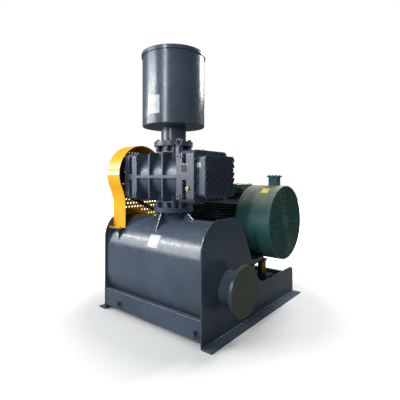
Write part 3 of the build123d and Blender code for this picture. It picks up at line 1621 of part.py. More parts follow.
def guard_area(inset):
    """Area inside the guard's band, drawn in by inset, down to a line inside the silencer."""
    with BuildSketch(mode=Mode.PRIVATE) as area:
        with BuildLine():
            Line((leg_y + inset, guard_foot_z), (leg_y + inset, guard_leg_top))
            CenterArc((turn_y, guard_leg_top), guard_turn_r + inset, 0, turn_angle)
            CenterArc((guard_y, guard_z), guard_r - inset, meet_angle, tail_normal - meet_angle)
            Line(
                on_circle(guard_y, guard_z, guard_r - inset, tail_normal),
                on_circle(motor_y, motor_z, guard_tail_r - inset, tail_normal),
            )
            CenterArc((motor_y, motor_z), guard_tail_r - inset, tail_normal, -90 - tail_normal)
            Polyline(
                (motor_y, motor_z - guard_tail_r + inset),
                (pump_y, motor_z - guard_tail_r + inset),
                (pump_y, guard_foot_z),
                (leg_y + inset, guard_foot_z),
            )
        make_face()
    return area.sketch


slot_spread = 50.0
guard_mid_x = (guard_out_x + guard_in_x) / 2
guard_screw_y = leg_y - guard_foot_length / 2
guard_screw_places = [(guard_mid_x - slot_spread, guard_screw_y), (guard_mid_x + slot_spread, guard_screw_y)]
with BuildPart() as guard_band:
    with BuildSketch(at_x(guard_out_x + guard_sheet)):
        add(guard_area(0))
        add(guard_area(guard_sheet), mode=Mode.SUBTRACT)
    extrude(amount=guard_depth - guard_sheet)
    add(shell_envelope(-guard_shell_gap, inner_x + 1), mode=Mode.SUBTRACT)
    with BuildSketch(Plane.XY.offset(guard_foot_z)):
        with Locations((guard_mid_x + guard_sheet / 2, guard_screw_y + guard_sheet / 2)):
            Rectangle(guard_depth - guard_sheet, guard_foot_length + guard_sheet)
        with Locations(*guard_screw_places):
            SlotOverall(26, 12, mode=Mode.SUBTRACT)
    extrude(amount=guard_sheet)
save(guard_band.part, "guard_band")

with BuildPart() as guard_panel:
    with BuildSketch(at_x(guard_out_x)):
        add(guard_area(0))
    extrude(amount=guard_sheet)
    add(shell_envelope(-guard_shell_gap, inner_x + 1), mode=Mode.SUBTRACT)
save(guard_panel.part, "guard_panel")

# Brackets under the guard: a shelf on the silencer at the front and a post from the beam at the back
shelf_t = 12.0
strap_w = 30.0
with BuildPart() as guard_brackets:
    with BuildSketch(Plane.XY.offset(guard_foot_z - shelf_t)):
        with Locations((guard_mid_x, leg_y - 20)):
            Rectangle(guard_depth - 20, 80)
        with Locations(*guard_screw_places):
            Circle(5, mode=Mode.SUBTRACT)
    extrude(amount=shelf_t)
    for x in (guard_out_x + 24, guard_in_x - 30):
        with BuildSketch(at_x(x)):
            with BuildLine():
                Polyline(
                    (leg_y - 56, guard_foot_z - shelf_t),
                    (leg_y - 52, guard_foot_z - shelf_t - 100),
                    (pump_y, shell_high_z),
                    (leg_y + 16, guard_foot_z - shelf_t),
                    close=True,
                )
            make_face()
        extrude(amount=6)
    add(shell_envelope(0, inner_x), mode=Mode.SUBTRACT)
    with BuildSketch(Plane.XY.offset(beam_top)):
        with Locations((guard_out_x + strap_w / 2, post_y)):
            Rectangle(strap_w, 60)
        with Locations((guard_out_x + strap_w / 2 + 4, post_y)):
            Rectangle(strap_w, 48, mode=Mode.SUBTRACT)
    extrude(amount=motor_z - guard_tail_r - beam_top)
save(guard_brackets.part, "guard_brackets")

with BuildPart() as guard_screws:
    for x, y in guard_screw_places:
        place = Plane(origin=(x, y, guard_foot_z + guard_sheet), z_dir=(0, 0, 1))
        with Locations(place):
            add(hex_bolt(9.0, 6.5, 5.0, shelf_t + guard_sheet, 12.0, 2.0))
save(guard_screws.part, "guard_screws")
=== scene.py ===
"""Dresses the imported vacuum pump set: finishes, perforated guard, stripes, fasteners, glands and floor.

Everything is in metres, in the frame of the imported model: +X along the shafts towards the
gear end, +Y from the pump towards the motor, +Z up, with the floor at z = 0.
"""
import json
import logging
import math
from dataclasses import dataclass, field
from enum import Enum

import bmesh
import bpy
from mathutils import Matrix, Vector

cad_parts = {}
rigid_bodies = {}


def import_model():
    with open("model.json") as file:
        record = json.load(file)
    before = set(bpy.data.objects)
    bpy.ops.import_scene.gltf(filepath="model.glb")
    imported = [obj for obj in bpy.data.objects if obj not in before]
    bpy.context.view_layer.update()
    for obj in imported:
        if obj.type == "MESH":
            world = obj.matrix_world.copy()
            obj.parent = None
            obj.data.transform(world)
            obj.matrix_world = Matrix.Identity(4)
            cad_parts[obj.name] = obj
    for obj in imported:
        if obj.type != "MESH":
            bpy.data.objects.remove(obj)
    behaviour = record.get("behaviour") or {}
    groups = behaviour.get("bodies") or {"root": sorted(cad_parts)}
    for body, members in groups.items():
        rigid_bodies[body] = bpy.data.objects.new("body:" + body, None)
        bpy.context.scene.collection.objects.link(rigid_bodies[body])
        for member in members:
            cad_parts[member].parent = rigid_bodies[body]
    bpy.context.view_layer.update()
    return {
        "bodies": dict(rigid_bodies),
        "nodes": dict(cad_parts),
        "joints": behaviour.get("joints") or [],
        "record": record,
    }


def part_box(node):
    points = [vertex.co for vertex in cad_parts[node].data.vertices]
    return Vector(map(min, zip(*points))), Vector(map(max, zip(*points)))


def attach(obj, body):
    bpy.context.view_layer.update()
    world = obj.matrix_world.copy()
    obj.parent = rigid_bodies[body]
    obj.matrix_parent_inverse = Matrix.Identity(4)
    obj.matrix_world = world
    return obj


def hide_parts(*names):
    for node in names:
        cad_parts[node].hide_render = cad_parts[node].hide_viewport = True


LOG = logging.getLogger("vacuum_pump")

Vec3 = tuple[float, float, float]

ROOT = "base_and_pump"
CARRIER = "motor_carrier"


def srgb(red: int, green: int, blue: int) -> Vec3:
    """Turns an 8-bit display colour into the linear colour that the shaders take."""

    def channel(value: int) -> float:
        """One channel from 0 to 255 as a linear value."""
        part = value / 255
        return part / 12.92 if part <= 0.04045 else ((part + 0.055) / 1.055) ** 2.4

    return channel(red), channel(green), channel(blue)


class NodeSheet:
    """A material's node tree with short calls for the nodes this scene uses."""

    def __init__(self, name: str) -> None:
        """Makes the material and its object-space coordinates.

        Args:
            name: Name of the new material.
        """
        self.material = bpy.data.materials.new(name)
        self.material.use_nodes = True
        self.tree = self.material.node_tree
        self.shader = self.tree.nodes["Principled BSDF"]
        self.place = self.node("ShaderNodeTexCoord").outputs["Object"]

    def node(self, kind: str, **values: object) -> bpy.types.ShaderNode:
        """Adds a node and sets its plain properties.

        Args:
            kind: Blender's name for the node type.
            **values: Properties of the node, such as its operation.

        Returns:
            The new node.
        """
        made = self.tree.nodes.new(kind)
        for key, value in values.items():
            setattr(made, key, value)
        return made

    def feed(self, socket: bpy.types.NodeSocket, value: object) -> None:
        """Links a socket to another one, or sets its value."""
        if isinstance(value, bpy.types.NodeSocket):
            self.tree.links.new(value, socket)
        else:
            socket.default_value = value

    def noise(self, scale: float, detail: float = 3.0, stretch: Vec3 = (1, 1, 1)) -> bpy.types.NodeSocket:
        """Noise in object space.

        Args:
            scale: Features per metre.
            detail: Octaves of finer noise.
            stretch: Scale of each axis, to draw the pattern out.

        Returns:
            The noise value from 0 to 1.
        """
        turn = self.node("ShaderNodeMapping")
        self.feed(turn.inputs["Vector"], self.place)
        turn.inputs["Scale"].default_value = stretch
        made = self.node("ShaderNodeTexNoise")
        self.feed(made.inputs["Vector"], turn.outputs["Vector"])
        made.inputs["Scale"].default_value = scale
        made.inputs["Detail"].default_value = detail
        return made.outputs["Fac"]

    def ramp(self, value: bpy.types.NodeSocket, low: float, high: float,
             out_low: float = 0.0, out_high: float = 1.0) -> bpy.types.NodeSocket:
        """Spreads a value between two limits onto a new range.

        Args:
            value: Value to spread.
            low: Input that gives out_low.
            high: Input that gives out_high.
            out_low: Result at the low end.
            out_high: Result at the high end.

        Returns:
            The spread value, held inside the new range.
        """
        made = self.node("ShaderNodeMapRange", clamp=True)
        self.feed(made.inputs["Value"], value)
        made.inputs["From Min"].default_value = low
        made.inputs["From Max"].default_value = high
        made.inputs["To Min"].default_value = out_low
        made.inputs["To Max"].default_value = out_high
        return made.outputs["Result"]

    def mix(self, share: object, first: object, second: object) -> bpy.types.NodeSocket:
        """Blends two colours.

        Args:
            share: Share of the second colour, a value or a socket.
            first: Colour at 0, a colour or a socket.
            second: Colour at 1, a colour or a socket.

        Returns:
            The blended colour.
        """
        made = self.node("ShaderNodeMix", data_type="RGBA")
        self.feed(made.inputs["Factor"], share)
        colours = [socket for socket in made.inputs if socket.type == "RGBA"]
        for socket, value in zip(colours, (first, second)):
            self.feed(socket, value if isinstance(value, bpy.types.NodeSocket) else (*value, 1.0))
        return [socket for socket in made.outputs if socket.type == "RGBA"][0]

    def maths(self, operation: str, first: object, second: object = 0.5) -> bpy.types.NodeSocket:
        """One arithmetic step on two values."""
        made = self.node("ShaderNodeMath", operation=operation)
        self.feed(made.inputs[0], first)
        self.feed(made.inputs[1], second)
        return made.outputs[0]

    def facing_up(self) -> bpy.types.NodeSocket:
        """How far the surface faces up, from -1 to 1."""
        split = self.node("ShaderNodeSeparateXYZ")
        self.feed(split.inputs[0], self.node("ShaderNodeNewGeometry").outputs["Normal"])
        return split.outputs["Z"]

    def height(self) -> bpy.types.NodeSocket:
        """Height above the floor in metres."""
        split = self.node("ShaderNodeSeparateXYZ")
        self.feed(split.inputs[0], self.place)
        return split.outputs["Z"]

    def bump(self, value: bpy.types.NodeSocket, strength: float, distance: float) -> None:
        """Raises the surface by a value.

        Args:
            value: Height of the surface from 0 to 1.
            strength: Share of the effect.
            distance: Height in metres of a value of 1.
        """
        made = self.node("ShaderNodeBump")
        made.inputs["Strength"].default_value = strength
        made.inputs["Distance"].default_value = distance
        self.feed(made.inputs["Height"], value)
        self.feed(self.shader.inputs["Normal"], made.outputs["Normal"])


class Surface(Enum):
    """How the ground under a paint coat looks up close."""

    SHEET = "sheet"
    CASTING = "casting"


@dataclass(frozen=True)
class Paint:
    """A coat of machine paint with dust on top, grime in patches and fine scratches; where its share is
    large, the pale coat on upward faces is also a painted highlight of top light.
    """

    name: str
    colour: Vec3
    dust: Vec3
    dust_and_top_light_share: float
    surface: Surface
    roughness: float = 0.42

    def make(self) -> bpy.types.Material:
        """Builds the material."""
        sheet = NodeSheet(self.name)
        dark = tuple(0.84 * part for part in self.colour)
        light = tuple(min(1.0, 1.10 * part) for part in self.colour)
        patches = sheet.ramp(sheet.noise(3.2, 5.0), 0.35, 0.68)
        tone = sheet.mix(patches, dark, light)
        streaks = sheet.ramp(sheet.noise(9.0, 6.0, (1.0, 1.0, 0.22)), 0.52, 0.74, 0.0, 0.25)
        tone = sheet.mix(streaks, tone, dark)
        # Upward faces blend towards the dust colour: real dust, and where the share is large (the teal) also
        # painted top light.
        settled_dust_and_top_light = sheet.ramp(sheet.facing_up(), 0.35, 1.0, 0.0, self.dust_and_top_light_share)
        patchy_dust_and_top_light = sheet.maths("MULTIPLY", settled_dust_and_top_light, sheet.ramp(sheet.noise(14.0, 6.0), 0.3, 0.6, 0.55, 1.0))
        tone = sheet.mix(patchy_dust_and_top_light, tone, self.dust)
        scratch = sheet.ramp(sheet.noise(38.0, 2.0, (1.0, 7.0, 0.6)), 0.72, 0.76, 0.0, 0.35)
        tone = sheet.mix(scratch, tone, light)
        sheet.feed(sheet.shader.inputs["Base Color"], tone)
        rough = sheet.ramp(sheet.noise(22.0, 5.0), 0.3, 0.7, self.roughness - 0.05, self.roughness + 0.07)
        sheet.feed(sheet.shader.inputs["Roughness"], rough)
        if self.surface is Surface.CASTING:
            sheet.bump(sheet.noise(190.0, 6.0), 0.45, 0.0012)
        else:
            sheet.bump(sheet.noise(70.0, 4.0), 0.12, 0.0006)
        return sheet.material


@dataclass(frozen=True)
class BareMetal:
    """Ground, plated or cast metal with fine grain and dull spots."""

    name: str
    colour: Vec3
    roughness: float
    grain: Vec3 = (1.0, 1.0, 1.0)
    metallic: float = 1.0

    def make(self) -> bpy.types.Material:
        """Builds the material."""
        sheet = NodeSheet(self.name)
        dull = tuple(0.55 * part for part in self.colour)
        spots = sheet.ramp(sheet.noise(26.0, 6.0), 0.42, 0.7)
        sheet.feed(sheet.shader.inputs["Base Color"], sheet.mix(spots, self.colour, dull))
        sheet.shader.inputs["Metallic"].default_value = self.metallic
        grain = sheet.noise(260.0, 3.0, self.grain)
        rough = sheet.ramp(grain, 0.3, 0.7, self.roughness - 0.08, self.roughness + 0.12)
        sheet.feed(sheet.shader.inputs["Roughness"], rough)
        sheet.bump(grain, 0.15, 0.0004)
        return sheet.material


@dataclass(frozen=True)
class SoftFinish:
    """Rubber, plastic or felt: no metal, a mottled colour and a fine bump."""

    name: str
    colour: Vec3
    roughness: float
    scale: float

    def make(self) -> bpy.types.Material:
        """Builds the material."""
        sheet = NodeSheet(self.name)
        dusty = tuple(min(1.0, 1.7 * part + 0.012) for part in self.colour)
        mottle = sheet.ramp(sheet.noise(self.scale / 8, 6.0), 0.35, 0.7)
        sheet.feed(sheet.shader.inputs["Base Color"], sheet.mix(mottle, self.colour, dusty))
        fine = sheet.noise(self.scale, 4.0)
        rough = sheet.ramp(fine, 0.3, 0.7, self.roughness - 0.1, self.roughness + 0.08)
        sheet.feed(sheet.shader.inputs["Roughness"], rough)
        sheet.bump(fine, 0.25, 0.0006)
        return sheet.material


@dataclass(frozen=True)
class ScuffedSheet:
    """The transport cover of the outlet: dull olive sheet with paint flecks and long scratches."""

    name: str = "scuffed_sheet"
    colour: Vec3 = srgb(96, 102, 90)
    fleck: Vec3 = srgb(70, 128, 84)
    scratch: Vec3 = srgb(128, 126, 112)

    def make(self) -> bpy.types.Material:
        """Builds the material."""
        sheet = NodeSheet(self.name)
        dark = tuple(0.75 * part for part in self.colour)
        tone = sheet.mix(sheet.ramp(sheet.noise(7.0, 6.0), 0.35, 0.65), dark, self.colour)
        lines = sheet.ramp(sheet.noise(24.0, 3.0, (1.0, 5.5, 0.7)), 0.64, 0.72, 0.0, 0.55)
        tone = sheet.mix(lines, tone, self.scratch)
        flecks = sheet.ramp(sheet.noise(17.0, 4.0), 0.66, 0.70, 0.0, 0.8)
        tone = sheet.mix(flecks, tone, self.fleck)
        sheet.feed(sheet.shader.inputs["Base Color"], tone)
        sheet.feed(sheet.shader.inputs["Roughness"], sheet.ramp(sheet.noise(40.0, 4.0), 0.3, 0.7, 0.5, 0.75))
        sheet.bump(sheet.noise(30.0, 5.0), 0.2, 0.001)
        return sheet.material


@dataclass
class Palette:
    """Every finish of the set, made once."""

    slate: bpy.types.Material = field(init=False)
    casting: bpy.types.Material = field(init=False)
    teal: bpy.types.Material = field(init=False)
    yellow: bpy.types.Material = field(init=False)
    olive: bpy.types.Material = field(init=False)
    zinc: bpy.types.Material = field(init=False)
    steel: bpy.types.Material = field(init=False)
    iron: bpy.types.Material = field(init=False)
    rubber: bpy.types.Material = field(init=False)
    brass: bpy.types.Material = field(init=False)
    plastic: bpy.types.Material = field(init=False)
    felt: bpy.types.Material = field(init=False)
    stripe: bpy.types.Material = field(init=False)
    label: bpy.types.Material = field(init=False)
    pale_label: bpy.types.Material = field(init=False)
    plate: bpy.types.Material = field(init=False)
    bolt: bpy.types.Material = field(init=False)
    teal_bolt: bpy.types.Material = field(init=False)
    shaded_frame_teal: bpy.types.Material = field(init=False)
    glass: bpy.types.Material = field(init=False)

    def __post_init__(self) -> None:
        """Makes the materials."""
        dust = srgb(120, 124, 122)
        slate = srgb(75, 88, 104)
        teal = srgb(60, 108, 104)
        self.slate = Paint("slate_paint", slate, dust, 0.06, Surface.SHEET, 0.25).make()
        self.casting = Paint("slate_casting", srgb(68, 79, 98), dust, 0.12, Surface.CASTING, 0.38).make()
        # Painted light: the teal's beige colour on upward faces, at a share of 0.80, is partly dust and
        # partly painted top light.
        self.teal = Paint("teal_paint", teal, srgb(176, 168, 140), 0.80, Surface.SHEET, 0.40).make()
        self.bolt = Paint("fastener_slate", srgb(58, 68, 84), dust, 0.10, Surface.SHEET, 0.26).make()
        # Painted shade: a much darker copy of the teal for the finned motor frame, standing in for the shade
        # between its fins.
        self.shaded_frame_teal = Paint("shaded_frame_teal", srgb(24, 40, 38), dust, 0.05, Surface.CASTING, 0.45).make()
        self.teal_bolt = Paint("fastener_teal", srgb(34, 62, 60), dust, 0.10, Surface.SHEET, 0.34).make()
        yellow_dust = srgb(244, 190, 60)
        self.yellow = Paint("guard_yellow", srgb(255, 180, 0), yellow_dust, 0.08, Surface.SHEET, 0.38).make()
        self.olive = ScuffedSheet().make()
        self.zinc = BareMetal("yellow_zinc", srgb(150, 124, 62), 0.38).make()
        self.steel = BareMetal("ground_steel", srgb(170, 172, 176), 0.3, (1.0, 8.0, 8.0)).make()
        self.iron = BareMetal("pulley_iron", srgb(70, 72, 76), 0.5, metallic=0.6).make()
        self.rubber = SoftFinish("belt_rubber", srgb(26, 26, 28), 0.7, 160.0).make()
        self.brass = BareMetal("brass", srgb(196, 180, 140), 0.32).make()
        self.plastic = SoftFinish("fan_plastic", srgb(30, 36, 36), 0.55, 120.0).make()
        self.felt = SoftFinish("filter_felt", srgb(176, 168, 148), 0.9, 300.0).make()
        self.stripe = SoftFinish("reflective_stripe", srgb(240, 236, 220), 0.45, 500.0).make()
        self.label = SoftFinish("plain_label", srgb(178, 180, 186), 0.42, 90.0).make()
        self.pale_label = SoftFinish("pale_yellow_label", srgb(226, 216, 110), 0.45, 90.0).make()
        self.plate = SoftFinish("dark_plate", srgb(24, 24, 28), 0.60, 90.0).make()
        self.glass = SoftFinish("sight_glass", srgb(44, 38, 26), 0.12, 30.0).make()


class GeometryTree:
    """A geometry-node tree with named sizes, run once on a seed mesh and turned into a plain mesh."""

    def __init__(self, name: str, sizes: dict[str, float]) -> None:
        """Makes the tree with its geometry, size and material inputs.

        Args:
            name: Name of the tree.
            sizes: Name and start value of each size input.
        """
        self.group = bpy.data.node_groups.new(name, "GeometryNodeTree")
        face = self.group.interface
        face.new_socket("Geometry", in_out="INPUT", socket_type="NodeSocketGeometry")
        self.sockets: dict[str, str] = {}
        for size, value in sizes.items():
            made = face.new_socket(size, in_out="INPUT", socket_type="NodeSocketFloat")
            made.default_value = value
            self.sockets[size] = made.identifier
        made = face.new_socket("Material", in_out="INPUT", socket_type="NodeSocketMaterial")
        self.sockets["Material"] = made.identifier
        face.new_socket("Geometry", in_out="OUTPUT", socket_type="NodeSocketGeometry")
        self.entry = self.group.nodes.new("NodeGroupInput")
        self.exit = self.group.nodes.new("NodeGroupOutput")

    def node(self, kind: str, links: dict[object, object] | None = None, **values: object) -> bpy.types.Node:
        """Adds a node.

        Args:
            kind: Blender's name for the node type.
            links: Input name or number to the socket or value that feeds it.
            **values: Properties of the node.

        Returns:
            The new node.
        """
        made = self.group.nodes.new(kind)
        for key, value in values.items():
            setattr(made, key, value)
        for key, value in (links or {}).items():
            if isinstance(value, bpy.types.NodeSocket):
                self.group.links.new(value, made.inputs[key])
            else:
                made.inputs[key].default_value = value
        return made

    def size(self, name: str) -> bpy.types.NodeSocket:
        """The group input of that name."""
        return self.entry.outputs[name]

    def close(self, geometry: bpy.types.NodeSocket) -> None:
        """Ends the tree: instances become real and take the material.

        Args:
            geometry: What the tree has made.
        """
        real = self.node("GeometryNodeRealizeInstances", {"Geometry": geometry})
        done = self.node("GeometryNodeSetMaterial", {
            "Geometry": real.outputs["Geometry"], "Material": self.size("Material"),
        })
        self.group.links.new(done.outputs["Geometry"], self.exit.inputs["Geometry"])

    def run(self, name: str, seed: bpy.types.Mesh, material: bpy.types.Material,
            **sizes: float) -> bpy.types.Object:
        """Runs the tree on a seed mesh.

        Args:
            name: Name of the finished piece.
            seed: Mesh that the tree starts from.
            material: Finish of the piece.
            **sizes: Sizes that differ from the tree's own, with _ for a space.

        Returns:
            The finished piece as a plain mesh object.
        """
        worker = bpy.data.objects.new(name + "_seed", seed)
        bpy.context.scene.collection.objects.link(worker)
        modifier = worker.modifiers.new("tree", "NODES")
        modifier.node_group = self.group
        modifier[self.sockets["Material"]] = material
        for key, value in sizes.items():
            modifier[self.sockets[key.replace("_", " ")]] = value
        worker.update_tag()
        bpy.context.view_layer.update()
        shown = worker.evaluated_get(bpy.context.evaluated_depsgraph_get())
        mesh = bpy.data.meshes.new_from_object(shown)
        mesh.name = name
        bpy.data.objects.remove(worker)
        piece = bpy.data.objects.new(name, mesh)
        bpy.context.scene.collection.objects.link(piece)
        return piece


@dataclass(frozen=True)
class Spot:
    """A place on the object and the way its fastener faces."""

    place: Vec3
    facing: Vec3


def spot_mesh(name: str, spots: list[Spot]) -> bpy.types.Mesh:
    """A mesh of loose points that carry their facing.

    Args:
        name: Name of the mesh.
        spots: Places and facings.

    Returns:
        The point mesh.
    """
    mesh = bpy.data.meshes.new(name)
    mesh.from_pydata([spot.place for spot in spots], [], [])
    facing = mesh.attributes.new("facing", "FLOAT_VECTOR", "POINT")
    for item, spot in zip(facing.data, spots):
        item.vector = spot.facing
    return mesh


class FastenerTree(GeometryTree):
    """Hexagon heads on washers, one at each point of the seed."""

    def __init__(self) -> None:
        """Builds the tree."""
        sizes = {"Head Radius": 0.008, "Head Height": 0.006, "Washer Radius": 0.011}
        super().__init__("hexagon_heads", sizes)
        head = self.node("GeometryNodeMeshCylinder", {
            "Vertices": 6, "Radius": self.size("Head Radius"), "Depth": self.size("Head Height"),
        })
        half = self.node("ShaderNodeMath", {0: self.size("Head Height"), 1: 0.5}, operation="MULTIPLY")
        lift = self.node("ShaderNodeCombineXYZ", {"Z": half.outputs[0]})
        raised = self.node("GeometryNodeTransform", {
            "Geometry": head.outputs["Mesh"], "Translation": lift.outputs[0],
        })
        washer = self.node("GeometryNodeMeshCylinder", {
            "Vertices": 20, "Radius": self.size("Washer Radius"), "Depth": 0.003,
        })
        both = self.node("GeometryNodeJoinGeometry")
        self.group.links.new(washer.outputs["Mesh"], both.inputs[0])
        self.group.links.new(raised.outputs["Geometry"], both.inputs[0])
        facing = self.node("GeometryNodeInputNamedAttribute", {"Name": "facing"}, data_type="FLOAT_VECTOR")
        outward = facing.outputs["Attribute"]
        turn = self.node("FunctionNodeAlignRotationToVector", {"Vector": outward}, axis="Z")
        spread = self.node("GeometryNodeInstanceOnPoints", {
            "Points": self.size("Geometry"),
            "Instance": both.outputs[0],
            "Rotation": turn.outputs["Rotation"],
        })
        self.close(spread.outputs["Instances"])


class PerforationTree(GeometryTree):
    """Punches round holes at each point of the seed's grid through the sheet that it is given."""

    def __init__(self, sheet: bpy.types.Object) -> None:
        """Builds the tree.

        Args:
            sheet: Object whose mesh is punched.
        """
        super().__init__("perforation", {"Hole Radius": 0.005, "Punch Length": 0.02})
        punch = self.node("GeometryNodeMeshCylinder", {
            "Vertices": 10, "Radius": self.size("Hole Radius"), "Depth": self.size("Punch Length"),
        })
        turned = self.node("GeometryNodeTransform", {
            "Geometry": punch.outputs["Mesh"], "Rotation": (0.0, math.pi / 2, 0.0),
        })
        spread = self.node("GeometryNodeInstanceOnPoints", {
            "Points": self.size("Geometry"), "Instance": turned.outputs["Geometry"],
        })
        punches = self.node("GeometryNodeRealizeInstances", {"Geometry": spread.outputs["Instances"]})
        info = self.node("GeometryNodeObjectInfo", {"Object": sheet})
        closed = self.node("GeometryNodeMergeByDistance", {
            "Geometry": info.outputs["Geometry"], "Distance": 0.00002,
        })
        cut = self.node("GeometryNodeMeshBoolean", {
            "Mesh 1": closed.outputs["Geometry"], "Mesh 2": punches.outputs["Geometry"],
        }, operation="DIFFERENCE", solver="MANIFOLD")
        self.close(cut.outputs["Mesh"])


class BeadTree(GeometryTree):
    """A weld bead: overlapping flattened drops along the seed's edges."""

    def __init__(self) -> None:
        """Builds the tree."""
        super().__init__("weld_bead", {"Bead Radius": 0.005, "Bead Spacing": 0.005})
        path = self.node("GeometryNodeMeshToCurve", {"Mesh": self.size("Geometry")})
        even = self.node("GeometryNodeResampleCurve", {
            "Curve": path.outputs["Curve"], "Length": self.size("Bead Spacing"),
        }, mode="LENGTH")
        drop = self.node("GeometryNodeMeshIcoSphere", {
            "Radius": self.size("Bead Radius"), "Subdivisions": 2,
        })
        smallest, largest = (0.85, 0.85, 0.85), (1.1, 1.1, 1.1)
        vary = self.node("FunctionNodeRandomValue", {"Min": smallest, "Max": largest, "Seed": 7},
                         data_type="FLOAT_VECTOR")
        spread = self.node("GeometryNodeInstanceOnPoints", {
            "Points": even.outputs["Curve"],
            "Instance": drop.outputs["Mesh"],
            "Scale": vary.outputs["Value"],
        })
        smooth = self.node("GeometryNodeSetShadeSmooth", {"Geometry": spread.outputs["Instances"]})
        self.close(smooth.outputs["Geometry"])


class MeshTree(GeometryTree):
    """Woven wire over a round opening: crossing rods, each cut to the chord where it lies."""

    def __init__(self) -> None:
        """Builds the tree."""
        super().__init__("woven_wire", {"Wire Radius": 0.001, "Opening Radius": 0.3})
        rod = self.node("GeometryNodeMeshCylinder", {
            "Vertices": 6, "Radius": self.size("Wire Radius"), "Depth": 1.0,
        })
        along = self.node("GeometryNodeInputNamedAttribute", {"Name": "facing"}, data_type="FLOAT_VECTOR")
        offset = self.node("GeometryNodeInputNamedAttribute", {"Name": "offset"}, data_type="FLOAT")
        share = self.node("ShaderNodeMath", {
            0: offset.outputs["Attribute"], 1: self.size("Opening Radius"),
        }, operation="DIVIDE")
        square = self.node("ShaderNodeMath", {0: share.outputs[0], 1: share.outputs[0]}, operation="MULTIPLY")
        rest = self.node("ShaderNodeMath", {0: 1.0, 1: square.outputs[0]}, operation="SUBTRACT")
        root = self.node("ShaderNodeMath", {0: rest.outputs[0]}, operation="SQRT")
        twice = self.node("ShaderNodeMath", {0: self.size("Opening Radius"), 1: 2.0}, operation="MULTIPLY")
        chord = self.node("ShaderNodeMath", {0: root.outputs[0], 1: twice.outputs[0]}, operation="MULTIPLY")
        length = self.node("ShaderNodeCombineXYZ", {"X": 1.0, "Y": 1.0, "Z": chord.outputs[0]})
        heading = along.outputs["Attribute"]
        turn = self.node("FunctionNodeAlignRotationToVector", {"Vector": heading}, axis="Z")
        spread = self.node("GeometryNodeInstanceOnPoints", {
            "Points": self.size("Geometry"),
            "Instance": rod.outputs["Mesh"],
            "Rotation": turn.outputs["Rotation"],
            "Scale": length.outputs[0],
        })
        self.close(spread.outputs["Instances"])


def loose_object(name: str, mesh: bpy.types.Mesh, material: bpy.types.Material) -> bpy.types.Object:
    """Links a finished mesh as a piece.

    Args:
        name: Name of the piece.
        mesh: Its mesh, in place.
        material: Its finish.

    Returns:
        The new object.
    """
    mesh.materials.clear()
    mesh.materials.append(material)
    piece = bpy.data.objects.new(name, mesh)
    bpy.context.scene.collection.objects.link(piece)
    return piece


def arc_plate(name: str, axis: str, centre: Vec3, radius: float, angles: tuple[float, float],
              span: tuple[float, float], thickness: float, material: bpy.types.Material) -> bpy.types.Object:
    """A thin plate bent round a cylinder along X or Z.

    Args:
        name: Name of the piece.
        axis: "X" or "Z", the cylinder's direction.
        centre: A point on the cylinder's axis.
        radius: Radius of the surface that carries the plate.
        angles: First and last angle in degrees.
        span: First and last place along the axis.
        thickness: Thickness of the plate.
        material: Finish of the plate.

    Returns:
        The plate.
    """
    steps = 14
    work = bmesh.new()
    rings = []
    for index in range(steps + 1):
        turn = math.radians(angles[0] + (angles[1] - angles[0]) * index / steps)
        ring = []
        for reach, along in ((radius, span[0]), (radius, span[1]),
                             (radius + thickness, span[1]), (radius + thickness, span[0])):
            across, up = reach * math.cos(turn), reach * math.sin(turn)
            if axis == "X":
                place = Vector((along, centre[1] + across, centre[2] + up))
            else:
                place = Vector((centre[0] + across, centre[1] + up, along))
            ring.append(work.verts.new(place))
        rings.append(ring)
    for first, second in zip(rings, rings[1:]):
        for side in range(4):
            work.faces.new((first[side], first[(side + 1) % 4], second[(side + 1) % 4], second[side]))
    work.faces.new(rings[0])
    work.faces.new(rings[-1])
    bmesh.ops.recalc_face_normals(work, faces=work.faces)
    mesh = bpy.data.meshes.new(name)
    work.to_mesh(mesh)
    work.free()
    return loose_object(name, mesh, material)


def flat_plate(name: str, low: Vec3, high: Vec3, edge: float,
               material: bpy.types.Material) -> bpy.types.Object:
    """A flat plate with softened edges between two corners.

    Args:
        name: Name of the piece.
        low: Lowest corner.
        high: Highest corner.
        edge: Width of the softened edge.
        material: Finish of the plate.

    Returns:
        The plate.
    """
    work = bmesh.new()
    bmesh.ops.create_cube(work, size=1.0)
    size = Vector(high) - Vector(low)
    middle = (Vector(high) + Vector(low)) / 2
    bmesh.ops.scale(work, vec=size, verts=work.verts)
    bmesh.ops.translate(work, vec=middle, verts=work.verts)
    bmesh.ops.bevel(work, geom=work.edges[:], offset=edge, segments=2, affect="EDGES")
    mesh = bpy.data.meshes.new(name)
    work.to_mesh(mesh)
    work.free()
    return loose_object(name, mesh, material)


def turned(name: str, outline: list[tuple[float, float]], origin: Vec3, facing: Vec3,
           material: bpy.types.Material, steps: int = 32) -> bpy.types.Object:
    """A turned piece: an outline of (radius, height) points spun about its facing.

    Args:
        name: Name of the piece.
        outline: Radius and height of each point, from the foot up.
        origin: Foot of the piece.
        facing: Direction of the axis.
        material: Finish of the piece.
        steps: Segments round the axis.

    Returns:
        The piece.
    """
    work = bmesh.new()
    turn = Vector((0, 0, 1)).rotation_difference(Vector(facing)).to_matrix().to_4x4()
    place = Matrix.Translation(origin) @ turn
    rings = []
    for radius, height in outline:
        ring = [
            work.verts.new(place @ Vector((
                radius * math.cos(math.tau * index / steps),
                radius * math.sin(math.tau * index / steps),
                height,
            )))
            for index in range(steps)
        ]
        rings.append(ring)
    for lower, upper in zip(rings, rings[1:]):
        for index in range(steps):
            after = (index + 1) % steps
            work.faces.new((lower[index], lower[after], upper[after], upper[index]))
    work.faces.new(rings[0])
    work.faces.new(rings[-1])
    bmesh.ops.recalc_face_normals(work, faces=work.faces)
    mesh = bpy.data.meshes.new(name)
    work.to_mesh(mesh)
    work.free()
    return loose_object(name, mesh, material)


